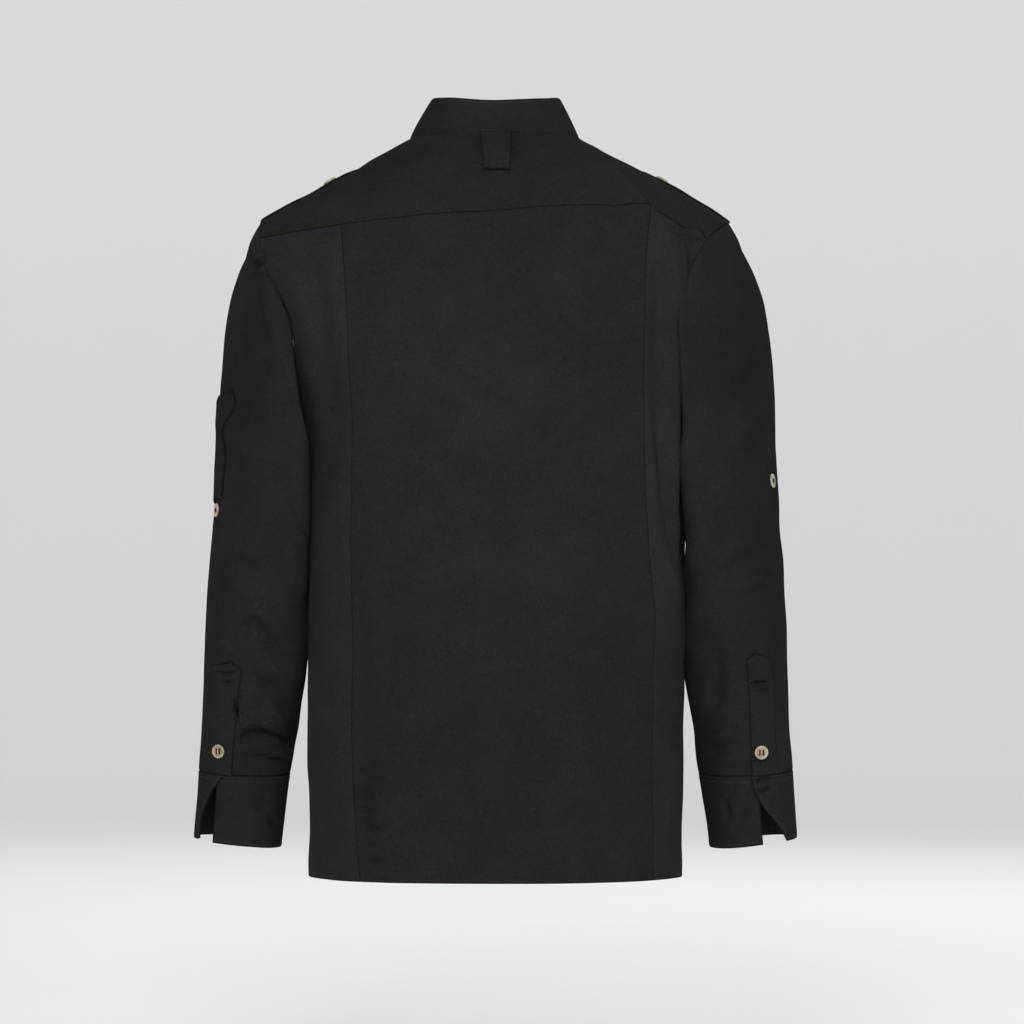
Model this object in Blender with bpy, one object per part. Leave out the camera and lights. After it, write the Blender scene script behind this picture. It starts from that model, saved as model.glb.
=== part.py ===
"""Chef jacket, filled out as worn with no wearer. Blender 4.5, metres, +Z up.

The front faces -Y and +X is the wearer's left. The origin lies between the shoulders at the
height of the collar seam's back, where the wearer's shoulders carry the jacket.
Each piece that a maker cuts is one object, a wall of cloth worked out from a few forms:
body() for the trunk, sleeve() for the arms, cuff() and collar(). A point on the trunk has an
angle round it (0 at the wearer's left side, a quarter turn at the back) and a level (metres of
cloth above the hem)."""

import math

import bmesh
import bpy
import numpy as np

CLOTH = 0.0016  # wall of a cut piece
STIFF_CLOTH = 0.0020  # wall of the collar and cuffs
SEAM_GAP = 0.0006  # between two pieces sewn edge to edge
LAY_GAP = 0.0005  # between a panel and what is sewn flat on it
STEP = 1e-4  # step of the slopes that give a form's normals, in radians or metres

SIDES = {"left": 1, "right": -1}  # the wearer's, and the sign of X there

# Trunk, from the hem up to the neck
RING_COLUMNS = (
    "level", "side_z", "back_z", "front_z", "half_width", "back_y", "front_y", "squareness",
)
BODY_RINGS = (
    (0.000, -0.762, -0.762, -0.762, 0.1930, 0.138, -0.138, 2.45),  # hem
    (0.100, -0.662, -0.662, -0.662, 0.1930, 0.135, -0.136, 2.45),  # hip
    (0.260, -0.502, -0.502, -0.502, 0.1925, 0.126, -0.132, 2.45),  # waist
    (0.400, -0.361, -0.361, -0.362, 0.1955, 0.129, -0.137, 2.55),  # ribs
    (0.470, -0.292, -0.290, -0.296, 0.2015, 0.134, -0.140, 2.65),  # underarm
    (0.560, -0.203, -0.202, -0.222, 0.2326, 0.137, -0.138, 2.75),  # chest
    (0.645, -0.118, -0.124, -0.156, 0.2700, 0.131, -0.126, 2.60),  # shoulder blades
    (0.680, -0.093, -0.094, -0.131, 0.2400, 0.122, -0.119, 2.50),  # shoulder tips
    (0.740, -0.045, -0.043, -0.101, 0.1600, 0.097, -0.104, 2.30),  # middle of the shoulders
    (0.790, -0.006, 0.000, -0.075, 0.0880, 0.060, -0.083, 2.20),  # neck
)
HEM_LEVEL, NECK_LEVEL = BODY_RINGS[0][0], BODY_RINGS[-1][0]

# Folds of the trunk's back: height, reach towards the middle and towards the sleeve, length of
# the soft ends, and the line as (z, x) from the top down
FOLD_COLUMNS = ("height", "inner_reach", "outer_reach", "top_fade", "foot_fade", "line")
BACK_FOLDS = {
    "right shoulder ridge": (
        0.008, 0.020, 0.0070, 0.060, 0.090,
        ((-0.008, -0.088), (-0.044, -0.119), (-0.085, -0.153), (-0.110, -0.175),
         (-0.140, -0.180), (-0.195, -0.179), (-0.257, -0.180), (-0.323, -0.180),
         (-0.374, -0.180), (-0.415, -0.183), (-0.510, -0.188)),
    ),
    "right trough": (
        -0.007, 0.009, 0.009, 0.030, 0.060,
        ((-0.135, -0.166), (-0.257, -0.164), (-0.374, -0.166), (-0.420, -0.170),
         (-0.470, -0.177)),
    ),
    "right bend": (
        0.004, 0.007, 0.007, 0.050, 0.030,
        ((-0.330, -0.153), (-0.402, -0.160), (-0.435, -0.167), (-0.464, -0.176),
         (-0.483, -0.182)),
    ),
    "left trough": (
        -0.007, 0.016, 0.012, 0.050, 0.050,
        ((-0.150, 0.180), (-0.236, 0.175), (-0.317, 0.169), (-0.350, 0.176),
         (-0.385, 0.190)),
    ),
}
FOLDED_DEPTH = (0.035, 0.080)  # y over which the back's folds fade in

# Armholes in (angle, level): the half turned to the back and the half turned to the front
UNDERARM_LEVEL, TIP_LEVEL = 0.470, 0.680
ARMHOLE_COLUMNS = ("half_angle", "centre_level", "under_squareness", "top_squareness")
ARMHOLES = {
    ("left", "back"): (math.radians(38), 0.605, 1.95, 2.6),
    ("right", "back"): (math.radians(48), 0.605, 1.95, 2.6),
    ("left", "front"): (math.radians(33), 0.600, 2.2, 2.2),
    ("right", "front"): (math.radians(33), 0.600, 2.2, 2.2),
}
# Turns round an armhole: 0 at the underarm, a quarter turn at the back, a half on the shoulder
YOKE_TURN = math.radians(127)
SIDE_SEAM_TURN = math.radians(-60)
SHOULDER_SEAM_TURN = math.radians(-135)

# Seams of the back, as (z, x) or (x, z)
BACK_SEAMS = {
    "left": ((-0.758, 0.136), (-0.742, 0.138), (-0.710, 0.141), (-0.680, 0.144),
             (-0.623, 0.146), (-0.378, 0.146), (-0.277, 0.147), (-0.183, 0.150),
             (-0.132, 0.153), (-0.106, 0.155)),
    "right": ((-0.740, -0.161), (-0.569, -0.161), (-0.487, -0.161), (-0.451, -0.157),
              (-0.417, -0.154), (-0.382, -0.151), (-0.277, -0.149), (-0.217, -0.150),
              (-0.132, -0.152), (-0.083, -0.155)),
}
YOKE_SEAM = (
    (-0.217, -0.112), (-0.198, -0.103), (-0.182, -0.098), (-0.168, -0.0910), (-0.155, -0.0840),
    (-0.116, -0.0815), (-0.084, -0.081), (-0.006, -0.085), (0.085, -0.092), (0.116, -0.095),
    (0.182, -0.104), (0.238, -0.114),
)
FRONT_SEAM_ANGLE = math.radians(-30)  # side panel to front, at the hem
UNDER_CORNER_ANGLE = {"left": math.radians(30), "right": math.radians(24)}  # hem, below the yoke
CLOSING_KNEE_LEVEL = 0.46  # level of the closing's row that meets the armhole's foot
SHOULDER_SEAM_NECK = math.radians(-26)  # forward shoulder seam, at the neck
# Where the yoke's lines from the armhole's corner and from the back seam reach the neck
NECK_BACK_ANGLES = {"left": (math.radians(35), math.radians(62)),
                    "right": (math.radians(24), math.radians(46))}

# Closing: the left front laps over the right one
CLOSING_X = -0.050  # edge of the left front and of the collar's left end
COLLAR_END_X = -0.054  # the collar's other end
UNDERLAP_X = -0.005  # hidden edge of the right front
UNDERLAP_BLEND = (-0.078, -0.056)  # x over which the right front sinks under the left one

# Columns and rows of the trunk's pieces
BACK_COLUMNS, SIDE_COLUMNS, ARM_COLUMNS = 12, 7, 8
UNDERARM_COLUMNS, ARM_FRONT_ROWS = 14, 8
TRUNK_ROWS, YOKE_ROWS = 16, 7
SHOULDER_COLUMNS, NECK_COLUMNS = 5, 7
RIGHT_NECK_COLUMNS, UNDERLAP_COLUMNS = 3, 3
ROW_CROWDING = 1.3  # above 1, rows crowd towards the shoulders
ANGLE_SCALE = 0.2  # metres round the trunk per radian, near enough
EVENING_STEPS = 400

# Collar: its top edge against the neck ring
COLLAR_TOP = {"half_width": 0.0650, "back_y": 0.0555, "front_y": -0.0765,
              "side_z": 0.0345, "back_z": 0.0308, "front_z": -0.0400}
COLLAR_GAP = 0.0006
COLLAR_BOW = 0.0015
COLLAR_ROWS = 3

# Sleeves, for the wearer's left: a ring runs from its inner point over the back to its outer one
SLEEVE_COLUMNS = (
    "along", "inner_x", "inner_z", "outer_x", "outer_z", "centre_y", "half_depth", "lean",
    "squareness",
)
SLEEVE_RINGS = (
    (0.000, 0.2015, -0.2925, 0.2405, -0.0915, 0.002, 0.078, 0.00, 2.3),  # armhole
    (0.020, 0.2032, -0.2985, 0.2515, -0.1125, 0.003, 0.084, 0.00, 2.3),
    (0.040, 0.2045, -0.3060, 0.2590, -0.1300, 0.006, 0.089, 0.09, 2.4),
    (0.062, 0.2045, -0.3160, 0.2640, -0.1520, 0.007, 0.090, 0.20, 2.5),
    (0.090, 0.2040, -0.3300, 0.2680, -0.1800, 0.006, 0.089, 0.29, 2.6),
    (0.130, 0.2040, -0.3500, 0.2700, -0.2200, 0.005, 0.086, 0.36, 2.7),
    (0.180, 0.2040, -0.3800, 0.2735, -0.2700, 0.003, 0.081, 0.37, 2.7),  # biceps
    (0.240, 0.2015, -0.4150, 0.2785, -0.3300, -0.001, 0.077, 0.34, 2.6),
    (0.300, 0.1993, -0.4500, 0.2862, -0.3900, -0.006, 0.072, 0.30, 2.5),  # elbow
    (0.360, 0.1970, -0.4900, 0.2930, -0.4500, -0.012, 0.067, 0.26, 2.4),
    (0.420, 0.1955, -0.5300, 0.2980, -0.5100, -0.018, 0.062, 0.20, 2.3),
    (0.475, 0.1980, -0.5720, 0.3020, -0.5650, -0.024, 0.057, 0.08, 2.2),  # forearm
    (0.525, 0.2050, -0.6175, 0.3052, -0.6150, -0.029, 0.053, 0.03, 2.2),
    (0.568, 0.2110, -0.6600, 0.3083, -0.6570, -0.033, 0.049, 0.00, 2.2),  # cuff seam
)
SLEEVE_TILT = 0.05  # rise of a ring's front over its back, reached at the cuff seam
SLEEVE_LENGTH = SLEEVE_RINGS[-1][0]
SEAM_BLEND = 0.110  # length over which the armhole's shape gives way to the rings
DRAWN_LENGTH = 0.140  # length below the seam over which the cloth is drawn nearly straight
DRAWN_BOW = 0.021  # how far the drawn cloth bows out from the straight line
# Turns off the underarm over which the drawing fades in and out
DRAWN_TURNS = tuple(math.radians(turn) for turn in (15, 45, 105, 150))
SLEEVE_ROWS = (0.0008, 0.010, 0.022, 0.036, 0.052, 0.072, 0.096, 0.125, 0.16, 0.20, 0.24,
               0.28, 0.32, 0.36, 0.40, 0.44, 0.475, 0.51, 0.54, SLEEVE_LENGTH)

# Creases of the sleeves: height, place along, slant (along per radian of turn), reach along,
# turn at the middle and reach in turns
CREASE_COLUMNS = ("height", "along", "slant", "reach", "turn", "turn_reach")
SLEEVE_CREASES = {
    "left": (
        (-0.0030, 0.034, 0.000, 0.014, math.radians(142), math.radians(24)),  # under the seam
        (0.0025, 0.300, -0.020, 0.016, math.radians(75), math.radians(40)),
        (-0.0030, 0.345, -0.025, 0.018, math.radians(70), math.radians(45)),
        (-0.0035, 0.528, -0.010, 0.012, math.radians(60), math.radians(38)),
        (0.0025, 0.548, 0.000, 0.009, math.radians(60), math.radians(40)),
    ),
    "right": (
        (-0.0030, 0.034, 0.000, 0.014, math.radians(145), math.radians(26)),
        (0.0025, 0.290, -0.020, 0.016, math.radians(75), math.radians(40)),
        (-0.0030, 0.330, -0.020, 0.018, math.radians(60), math.radians(45)),
        (-0.0025, 0.530, 0.006, 0.012, math.radians(55), math.radians(38)),
    ),
}

# Cuffs go on from the last sleeve ring
CUFF_END = {"inner_x": 0.2205, "inner_z": -0.7365, "outer_x": 0.3135, "outer_z": -0.7265,
            "centre_y": -0.038, "half_depth": 0.044}
CUFF_ROWS, CUFF_COLUMNS = 5, 28
UNDERLAP_TURN = {"left": math.radians(122), "right": math.radians(101)}
# Turn of the overlap's end, down the cuff
FLAP_ENDS = {
    "left": ((0.0, 112), (0.08, 117), (0.42, 132), (0.72, 141), (1.0, 141)),
    "right": ((0.0, 93), (0.2, 95), (0.47, 105), (0.8, 126), (1.0, 138)),
}
FLAP_RISE = {"left": 0.006, "right": 0.001}  # how much shorter the flap is at its end
FLAP_BLEND = math.radians(38)  # turns over which the flap lifts off the ring
FLAP_FLARE = 0.005  # further lift of the flap's foot

# Plackets: turns of the slit edge and of the outer edge, each at the top and at the foot, start
# and end along the sleeve, length of the point
PLACKET_COLUMNS = ("slit_turns", "outer_turns", "top", "foot", "point")
PLACKETS = {
    "left": (np.radians((-251, -257)), np.radians((-210, -212)), 0.449, SLEEVE_LENGTH, 0.014),
    "right": (np.radians((-252, -266)), np.radians((-224, -232)), 0.439, SLEEVE_LENGTH, 0.014),
}
PLACKET_PEAK = 0.4  # share of the width at which the point stands
PLACKET_NARROWEST = math.radians(1)  # width of a column where the band narrows

# Pen pocket on the left sleeve: turns and places along
POCKET_TURNS = (math.radians(-186), math.radians(-133))
POCKET_ALONG = (0.176, 0.286)
POCKET_PUFF = 0.0022

# Epaulettes: sleeve end and point as levels, half widths, centre line's y
EPAULETTE_LEVELS = (0.6795, 0.7440)
EPAULETTE_POINT = 0.008
EPAULETTE_HALF_WIDTHS = (0.024, 0.019)
EPAULETTE_CENTRES_Y = (0.005, -0.014)  # at the armhole and at the neck

# Neck loop: x of its sides at the top and foot, levels, height of its bow, folded foot
LOOP_TOP_X, LOOP_FOOT_X = (-0.0164, 0.0158), (-0.0150, 0.0112)
LOOP_LEVELS = (0.7885, 0.7375)
LOOP_BOW = 0.0030
LOOP_CLOTH = 0.0018
LOOP_FOLD_CLOTH = 0.0030

# Buttons: all are alike
BUTTON_RADIUS, BUTTON_HEIGHT, BUTTON_SIDES = 0.0072, 0.0028, 14
BUTTON_GAP = 0.0004
BUTTON_PROFILE = ((0.80, 0.0), (1.0, 0.42), (0.88, 1.0), (0.60, 0.72))  # radius, height shares
FRONT_BUTTON_X = -0.030
FRONT_BUTTON_LEVELS = (0.690, 0.610, 0.530, 0.450, 0.370, 0.290, 0.210, 0.130)
PLACKET_BUTTONS = {"left": (0.543, math.radians(-239)), "right": (0.5435, math.radians(-252))}
ROLL_BUTTONS = {"left": (0.298, math.radians(-174)), "right": (0.268, math.radians(-176))}
EPAULETTE_BUTTON_LEVEL = 0.7330

COLOURS = {
    "black_twill": (0.017, 0.016, 0.015),
    "blue_knit": (0.022, 0.023, 0.027),
    "horn": (0.28, 0.24, 0.16),
}


def smooth(at, knots, values):
    """Reads a smooth curve through the values at the knots, which rise; it runs straight outside."""
    knots = np.asarray(knots, float)
    values = np.asarray(values, float)
    steps = np.diff(knots)
    rises = np.diff(values) / steps
    slopes = np.concatenate(([rises[0]], np.zeros(len(steps) - 1), [rises[-1]]))
    slopes[1:-1] = (rises[:-1] * steps[1:] + rises[1:] * steps[:-1]) / (steps[:-1] + steps[1:])
    beyond = at - np.clip(at, knots[0], knots[-1])
    at = at - beyond
    i = np.clip(np.searchsorted(knots, at, side="right") - 1, 0, len(steps) - 1)
    f = (at - knots[i]) / steps[i]
    start = values[i] * (1 + 2 * f) * (1 - f) ** 2 + slopes[i] * steps[i] * f * (1 - f) ** 2
    end = values[i + 1] * f**2 * (3 - 2 * f) + slopes[i + 1] * steps[i] * f**2 * (f - 1)
    return start + end + beyond * np.where(beyond < 0, slopes[0], slopes[-1])


def table(columns, rows, at):
    """The columns after the first, each read at the place `at` of the first."""
    knots = [row[0] for row in rows]
    return {
        name: smooth(at, knots, [row[i] for row in rows])
        for i, name in enumerate(columns)
        if i
    }


def ramp(value, start, end):
    """0 at the start, 1 at the end, with soft ends."""
    f = np.clip((value - start) / (end - start), 0, 1)
    return f * f * (3 - 2 * f)


def roundness(angle, squareness):
    """Radius of a squared circle of radius 1 in that direction."""
    cos, sin = np.abs(np.cos(angle)), np.abs(np.sin(angle))
    return (cos**squareness + sin**squareness) ** (-1 / squareness)


def unit(vectors):
    return vectors / np.linalg.norm(vectors, axis=-1, keepdims=True)


def normals(form, u, v):
    """Normals of form(u, v), on the side where u, v and the normal are right-handed."""
    across = form(u + STEP, v) - form(u - STEP, v)
    up = form(u, v + STEP) - form(u, v - STEP)
    return unit(np.cross(across, up))


# The trunk


def body(angle, level):
    """The trunk's form with no folds."""
    angle, level = np.broadcast_arrays(np.asarray(angle, float), np.asarray(level, float))
    ring = table(RING_COLUMNS, BODY_RINGS, level)
    radius = roundness(angle, ring["squareness"])
    back = np.sin(angle) > 0
    depth = np.where(back, ring["back_y"], -ring["front_y"])
    end_z = np.where(back, ring["back_z"], ring["front_z"])
    x = ring["half_width"] * np.cos(angle) * radius
    y = depth * np.sin(angle) * radius
    z = ring["side_z"] + (end_z - ring["side_z"]) * np.sin(angle) ** 2
    return np.stack([x, y, z], axis=-1)


def fold_height(points):
    """How far the folds of the back lift these points of the trunk."""
    x, y, z = np.moveaxis(points, -1, 0)
    total = np.zeros_like(x)
    for row in BACK_FOLDS.values():
        fold = dict(zip(FOLD_COLUMNS, row))
        zs, xs = zip(*fold["line"][::-1])
        outwards = (x - smooth(z, zs, xs)) * math.copysign(1, xs[0])
        reach = np.where(outwards > 0, fold["outer_reach"], fold["inner_reach"])
        top, foot = fold["top_fade"] / 2, fold["foot_fade"] / 2
        along = ramp(z, zs[0] - foot, zs[0] + foot) * ramp(-z, -zs[-1] - top, -zs[-1] + top)
        total += fold["height"] * along * np.exp(-((outwards / reach) ** 2))
    return total * ramp(y, *FOLDED_DEPTH)


def trunk(angle, level, lift=0.0):
    """The trunk's outer surface, folds included, moved out by lift."""
    base = body(angle, level)
    out = normals(body, angle, level)
    return base + out * (fold_height(base) + lift)[..., None]


def angle_at_x(x, level, front=False):
    """Angle at which a ring of the trunk reaches x, at its back or its front."""
    ring = table(RING_COLUMNS, BODY_RINGS, level)
    share = np.clip(np.abs(x) / ring["half_width"], 1e-6, 1) ** ring["squareness"]
    angle = np.arctan(((1 - share) / share) ** (1 / ring["squareness"]))
    angle = np.where(np.asarray(x) < 0, math.pi - angle, angle)
    return -angle if front else angle


def angle_at_y(y, level):
    """Angle at the wearer's left side at which a ring of the trunk reaches y."""
    ring = table(RING_COLUMNS, BODY_RINGS, level)
    depth = np.where(np.asarray(y) > 0, ring["back_y"], -ring["front_y"])
    share = (np.abs(y) / depth) ** ring["squareness"]
    return np.sign(y) * np.arctan((share / (1 - share)) ** (1 / ring["squareness"]))


def level_at_z(z, angle):
    """Level at which the trunk reaches the height z, at that angle."""
    low = np.full(np.shape(z), HEM_LEVEL)
    high = np.full(np.shape(z), NECK_LEVEL)
    for _ in range(30):
        middle = (low + high) / 2
        below = body(angle, middle)[..., 2] < z
        low, high = np.where(below, middle, low), np.where(below, high, middle)
    return (low + high) / 2


def on_side(side, angle):
    """An angle counted from the side of this arm, turned into the trunk's angle."""
    return angle if side == "left" else math.pi - angle


def armhole(side, turn):
    """(angle, level) of the armhole's edge."""
    turn = np.asarray(turn, float)
    edge = []
    for half in ("back", "front"):
        hole = dict(zip(ARMHOLE_COLUMNS, ARMHOLES[side, half]))
        centre = hole["centre_level"]
        below = np.cos(turn) > 0
        squareness = np.where(below, hole["under_squareness"], hole["top_squareness"])
        radius = roundness(turn, squareness)
        rise = -np.cos(turn) * radius
        size = np.where(rise < 0, centre - UNDERARM_LEVEL, TIP_LEVEL - centre)
        edge.append((hole["half_angle"] * np.sin(turn) * radius, centre + size * rise))
    back = np.sin(turn) > 0
    angle = np.where(back, edge[0][0], edge[1][0])
    return np.stack([on_side(side, angle), np.where(back, edge[0][1], edge[1][1])], axis=-1)


def yoke_seam(start_x, end_x, columns):
    """(angle, level) of the yoke's back seam between two places across the back."""
    x = np.linspace(start_x, end_x, columns + 1)
    xs, zs = zip(*YOKE_SEAM)
    z = smooth(x, xs, zs)
    level = np.full(x.shape, TIP_LEVEL)
    for _ in range(4):
        angle = angle_at_x(x, level)
        level = level_at_z(z, angle)
    return np.stack([angle, level], axis=-1)


def rows_to(level):
    """Levels from the hem up, crowding towards the top."""
    return level * (1 - (1 - np.linspace(0, 1, TRUNK_ROWS + 1)) ** ROW_CROWDING)


def back_seam(side, top_level):
    """(angle, level) from the hem up to the yoke."""
    zs, xs = zip(*BACK_SEAMS[side])
    level = rows_to(top_level)
    z = table(RING_COLUMNS, BODY_RINGS, level)["back_z"]
    return np.stack([angle_at_x(smooth(z, zs, xs), level), level], axis=-1)


def line(start, end, pieces):
    """Straight in (angle, level)."""
    return np.linspace(start, end, pieces + 1)


def chain(*lines):
    """Lines that follow on, as one."""
    return np.concatenate([lines[0]] + [one[1:] for one in lines[1:]])


def patch(foot, top, left, right):
    """Grid of (angle, level) between its four edges."""
    s = np.linspace(0, 1, len(foot))[None, :, None]
    t = np.linspace(0, 1, len(left))[:, None, None]
    across = (1 - t) * foot[None] + t * top[None]
    up = (1 - s) * left[:, None] + s * right[:, None]
    corners = (1 - t) * ((1 - s) * foot[0] + s * foot[-1]) + t * ((1 - s) * top[0] + s * top[-1])
    return evened(across + up - corners)


def evened(grid):
    """The grid with its inner points moved, in steps, until its lines run evenly between the
    edges, so that no cell folds over beside a deep armhole."""
    grid = grid * (ANGLE_SCALE, 1)
    for _ in range(EVENING_STEPS):
        across = (grid[1:-1, 2:] - grid[1:-1, :-2]) / 2
        up = (grid[2:, 1:-1] - grid[:-2, 1:-1]) / 2
        across_weight = (up**2).sum(axis=-1, keepdims=True)
        up_weight = (across**2).sum(axis=-1, keepdims=True)
        shear = (across * up).sum(axis=-1, keepdims=True)
        diagonal = grid[2:, 2:] - grid[2:, :-2] - grid[:-2, 2:] + grid[:-2, :-2]
        beside = across_weight * (grid[1:-1, 2:] + grid[1:-1, :-2])
        above = up_weight * (grid[2:, 1:-1] + grid[:-2, 1:-1])
        grid[1:-1, 1:-1] = (beside + above - shear * diagonal / 2) / (
            2 * (across_weight + up_weight)
        )
    return grid / (ANGLE_SCALE, 1)


# Walls of cloth


def tucked(points, out, gap=SEAM_GAP):
    """The grid with its four edges drawn in by half the gap, within the surface."""
    drawn = points.copy()
    for axis in (0, 1):
        grid = np.moveaxis(points, axis, 0)
        moved = np.moveaxis(drawn, axis, 0)
        for edge, inside in ((0, 1), (-1, -2)):
            along = np.gradient(grid[edge], axis=0)
            inwards = grid[inside] - grid[edge]
            facing = np.moveaxis(out, axis, 0)[edge]
            across = np.cross(facing, along)
            across *= np.sign((across * inwards).sum(axis=-1, keepdims=True))
            moved[edge] += unit(across) * gap / 2
    return drawn


def new_object(name, mesh, colour, roughness):
    material = bpy.data.materials.get(colour) or bpy.data.materials.new(colour)
    material.use_nodes = True
    shader = material.node_tree.nodes["Principled BSDF"]
    shader.inputs["Base Color"].default_value = (*COLOURS[colour], 1)
    shader.inputs["Roughness"].default_value = roughness
    mesh.materials.append(material)
    made = bpy.data.objects.new(name, mesh)
    bpy.context.collection.objects.link(made)
    return made


def wall(name, outer, out, thickness=CLOTH, colour="black_twill", closed=False):
    """A wall of cloth: the grid `outer`, its copy moved in by the thickness, and their rims.
    A closed grid joins its last column to its first."""
    inner = outer - out * np.broadcast_to(thickness, outer.shape[:2])[..., None]
    rows, columns = outer.shape[:2]
    shape = bmesh.new()
    faces = []
    layers = [[[shape.verts.new(p) for p in row] for row in grid] for grid in (outer, inner)]
    ends = [(c, (c + 1) % columns) for c in range(columns if closed else columns - 1)]
    for r in range(rows - 1):
        for a, b in ends:
            for layer in layers:
                faces.append((layer[r][a], layer[r][b], layer[r + 1][b], layer[r + 1][a]))
    for r in (0, rows - 1):
        for a, b in ends:
            faces.append((layers[0][r][a], layers[0][r][b], layers[1][r][b], layers[1][r][a]))
    if not closed:
        for c in (0, columns - 1):
            for r in range(rows - 1):
                faces.append(
                    (layers[0][r][c], layers[0][r + 1][c], layers[1][r + 1][c], layers[1][r][c])
                )
    for face in faces:
        shape.faces.new(face).smooth = True
    bmesh.ops.recalc_face_normals(shape, faces=shape.faces)
    mesh = bpy.data.meshes.new(name)
    shape.to_mesh(mesh)
    shape.free()
    mesh.set_sharp_from_angle(angle=math.radians(40))
    return new_object(name, mesh, colour, 0.85)


def trunk_wall(name, grid, lift=None, colour="black_twill"):
    """A panel of the trunk from its grid of (angle, level)."""
    angle, level = grid[..., 0], grid[..., 1]
    lift = np.zeros(angle.shape) if lift is None else lift

    out = normals(trunk, angle, level)
    points = trunk(angle, level) + out * lift[..., None]
    wall(name, tucked(points, out), out, colour=colour)


def yoke_corner(side):
    return armhole(side, YOKE_TURN)


def armhole_run(side, start, end, pieces):
    return armhole(side, np.linspace(start, end, pieces + 1))


def armhole_turns(side):
    """Turns of the armhole's points, all the way round from the yoke's corner."""
    corner = YOKE_TURN
    under = np.linspace(corner, SIDE_SEAM_TURN, UNDERARM_COLUMNS + 1)
    front = np.linspace(SIDE_SEAM_TURN, SHOULDER_SEAM_TURN, ARM_FRONT_ROWS + 1)
    top = np.linspace(SHOULDER_SEAM_TURN, corner - 2 * math.pi, ARM_COLUMNS + 1)
    return chain(under, front, top)[:-1]


def seam_corner(side):
    """(angle, level) where the back seam meets the yoke."""
    x = BACK_SEAMS[side][-1][1]
    return yoke_seam(x, x, 0)[0]


def side_yoke_seam(side):
    """The yoke's seam from the back seam out to the armhole."""
    start = BACK_SEAMS[side][-1][1]
    corner = yoke_corner(side)
    end = trunk(*corner)[0]
    seam = yoke_seam(start, end, SIDE_COLUMNS)
    share = np.linspace(0, 1, SIDE_COLUMNS + 1)[:, None]
    return seam + share**2 * (corner - seam[-1])


def front_side_seam(side):
    """From the hem up to the armhole's front."""
    top = armhole(side, SIDE_SEAM_TURN)
    level = rows_to(top[1])
    hem = on_side(side, FRONT_SEAM_ANGLE)
    angle = hem + (top[0] - hem) * (level / top[1]) ** 2
    return np.stack([angle, level], axis=-1)


def shoulder_seam(side):
    """From the armhole to the neck, a little forward of the shoulder's top."""
    neck = (on_side(side, SHOULDER_SEAM_NECK), NECK_LEVEL)
    return line(armhole(side, SHOULDER_SEAM_TURN), neck, SHOULDER_COLUMNS)


def hem(start, end, pieces):
    return line((start, HEM_LEVEL), (end, HEM_LEVEL), pieces)


def make_back():
    left, right = (back_seam(side, seam_corner(side)[1]) for side in SIDES)
    top = yoke_seam(BACK_SEAMS["left"][-1][1], BACK_SEAMS["right"][-1][1], BACK_COLUMNS)
    left[-1], right[-1] = top[0], top[-1]
    trunk_wall("back_panel", patch(hem(left[0][0], right[0][0], BACK_COLUMNS), top, left, right))


def make_side_panel(side):
    back = back_seam(side, seam_corner(side)[1])
    front = front_side_seam(side)
    under = armhole_run(side, YOKE_TURN, SIDE_SEAM_TURN, UNDERARM_COLUMNS)
    top = chain(side_yoke_seam(side), under)
    back[-1] = top[0]
    below_corner = on_side(side, UNDER_CORNER_ANGLE[side])
    foot = chain(
        hem(back[0][0], below_corner, SIDE_COLUMNS),
        hem(below_corner, front[0][0], UNDERARM_COLUMNS),
    )
    trunk_wall(f"side_panel_{side}", patch(foot, top, back, front), colour="blue_knit")


def make_yoke():
    run = {}
    for side in SIDES:
        over = armhole_run(side, SHOULDER_SEAM_TURN, YOKE_TURN - 2 * math.pi, ARM_COLUMNS)
        run[side] = chain(over, side_yoke_seam(side)[::-1])
    back = yoke_seam(BACK_SEAMS["left"][-1][1], BACK_SEAMS["right"][-1][1], BACK_COLUMNS)
    foot = chain(run["left"], back, run["right"][::-1])
    ends = [
        [on_side(side, angle) for angle in (SHOULDER_SEAM_NECK, *NECK_BACK_ANGLES[side])]
        for side in SIDES
    ]
    stops = ends[0] + ends[1][::-1]
    counts = (ARM_COLUMNS, SIDE_COLUMNS, BACK_COLUMNS, SIDE_COLUMNS, ARM_COLUMNS)
    neck = chain(*(
        line((start, NECK_LEVEL), (end, NECK_LEVEL), count)
        for start, end, count in zip(stops, stops[1:], counts)
    ))
    share = np.linspace(0, 1, YOKE_ROWS + 1)[:, None]
    left, right = (foot[i] + share * (neck[i] - foot[i]) for i in (0, -1))
    trunk_wall("yoke", patch(foot, neck, left, right))
    return neck[:, 0]


def neck_angles(side):
    """Angles of the front's points along the neck, from the shoulder seam to the closing."""
    start = on_side(side, SHOULDER_SEAM_NECK)
    if side == "left":
        return np.linspace(start, angle_at_x(CLOSING_X, NECK_LEVEL, True), NECK_COLUMNS + 1)
    full_turn = 2 * math.pi
    collar_end = angle_at_x(COLLAR_END_X, NECK_LEVEL, True) + full_turn
    lap = angle_at_x(UNDERLAP_X, NECK_LEVEL, True) + full_turn
    return np.concatenate([
        np.linspace(start, collar_end, RIGHT_NECK_COLUMNS + 1),
        np.linspace(collar_end, lap, UNDERLAP_COLUMNS + 1)[1:],
    ])


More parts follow.
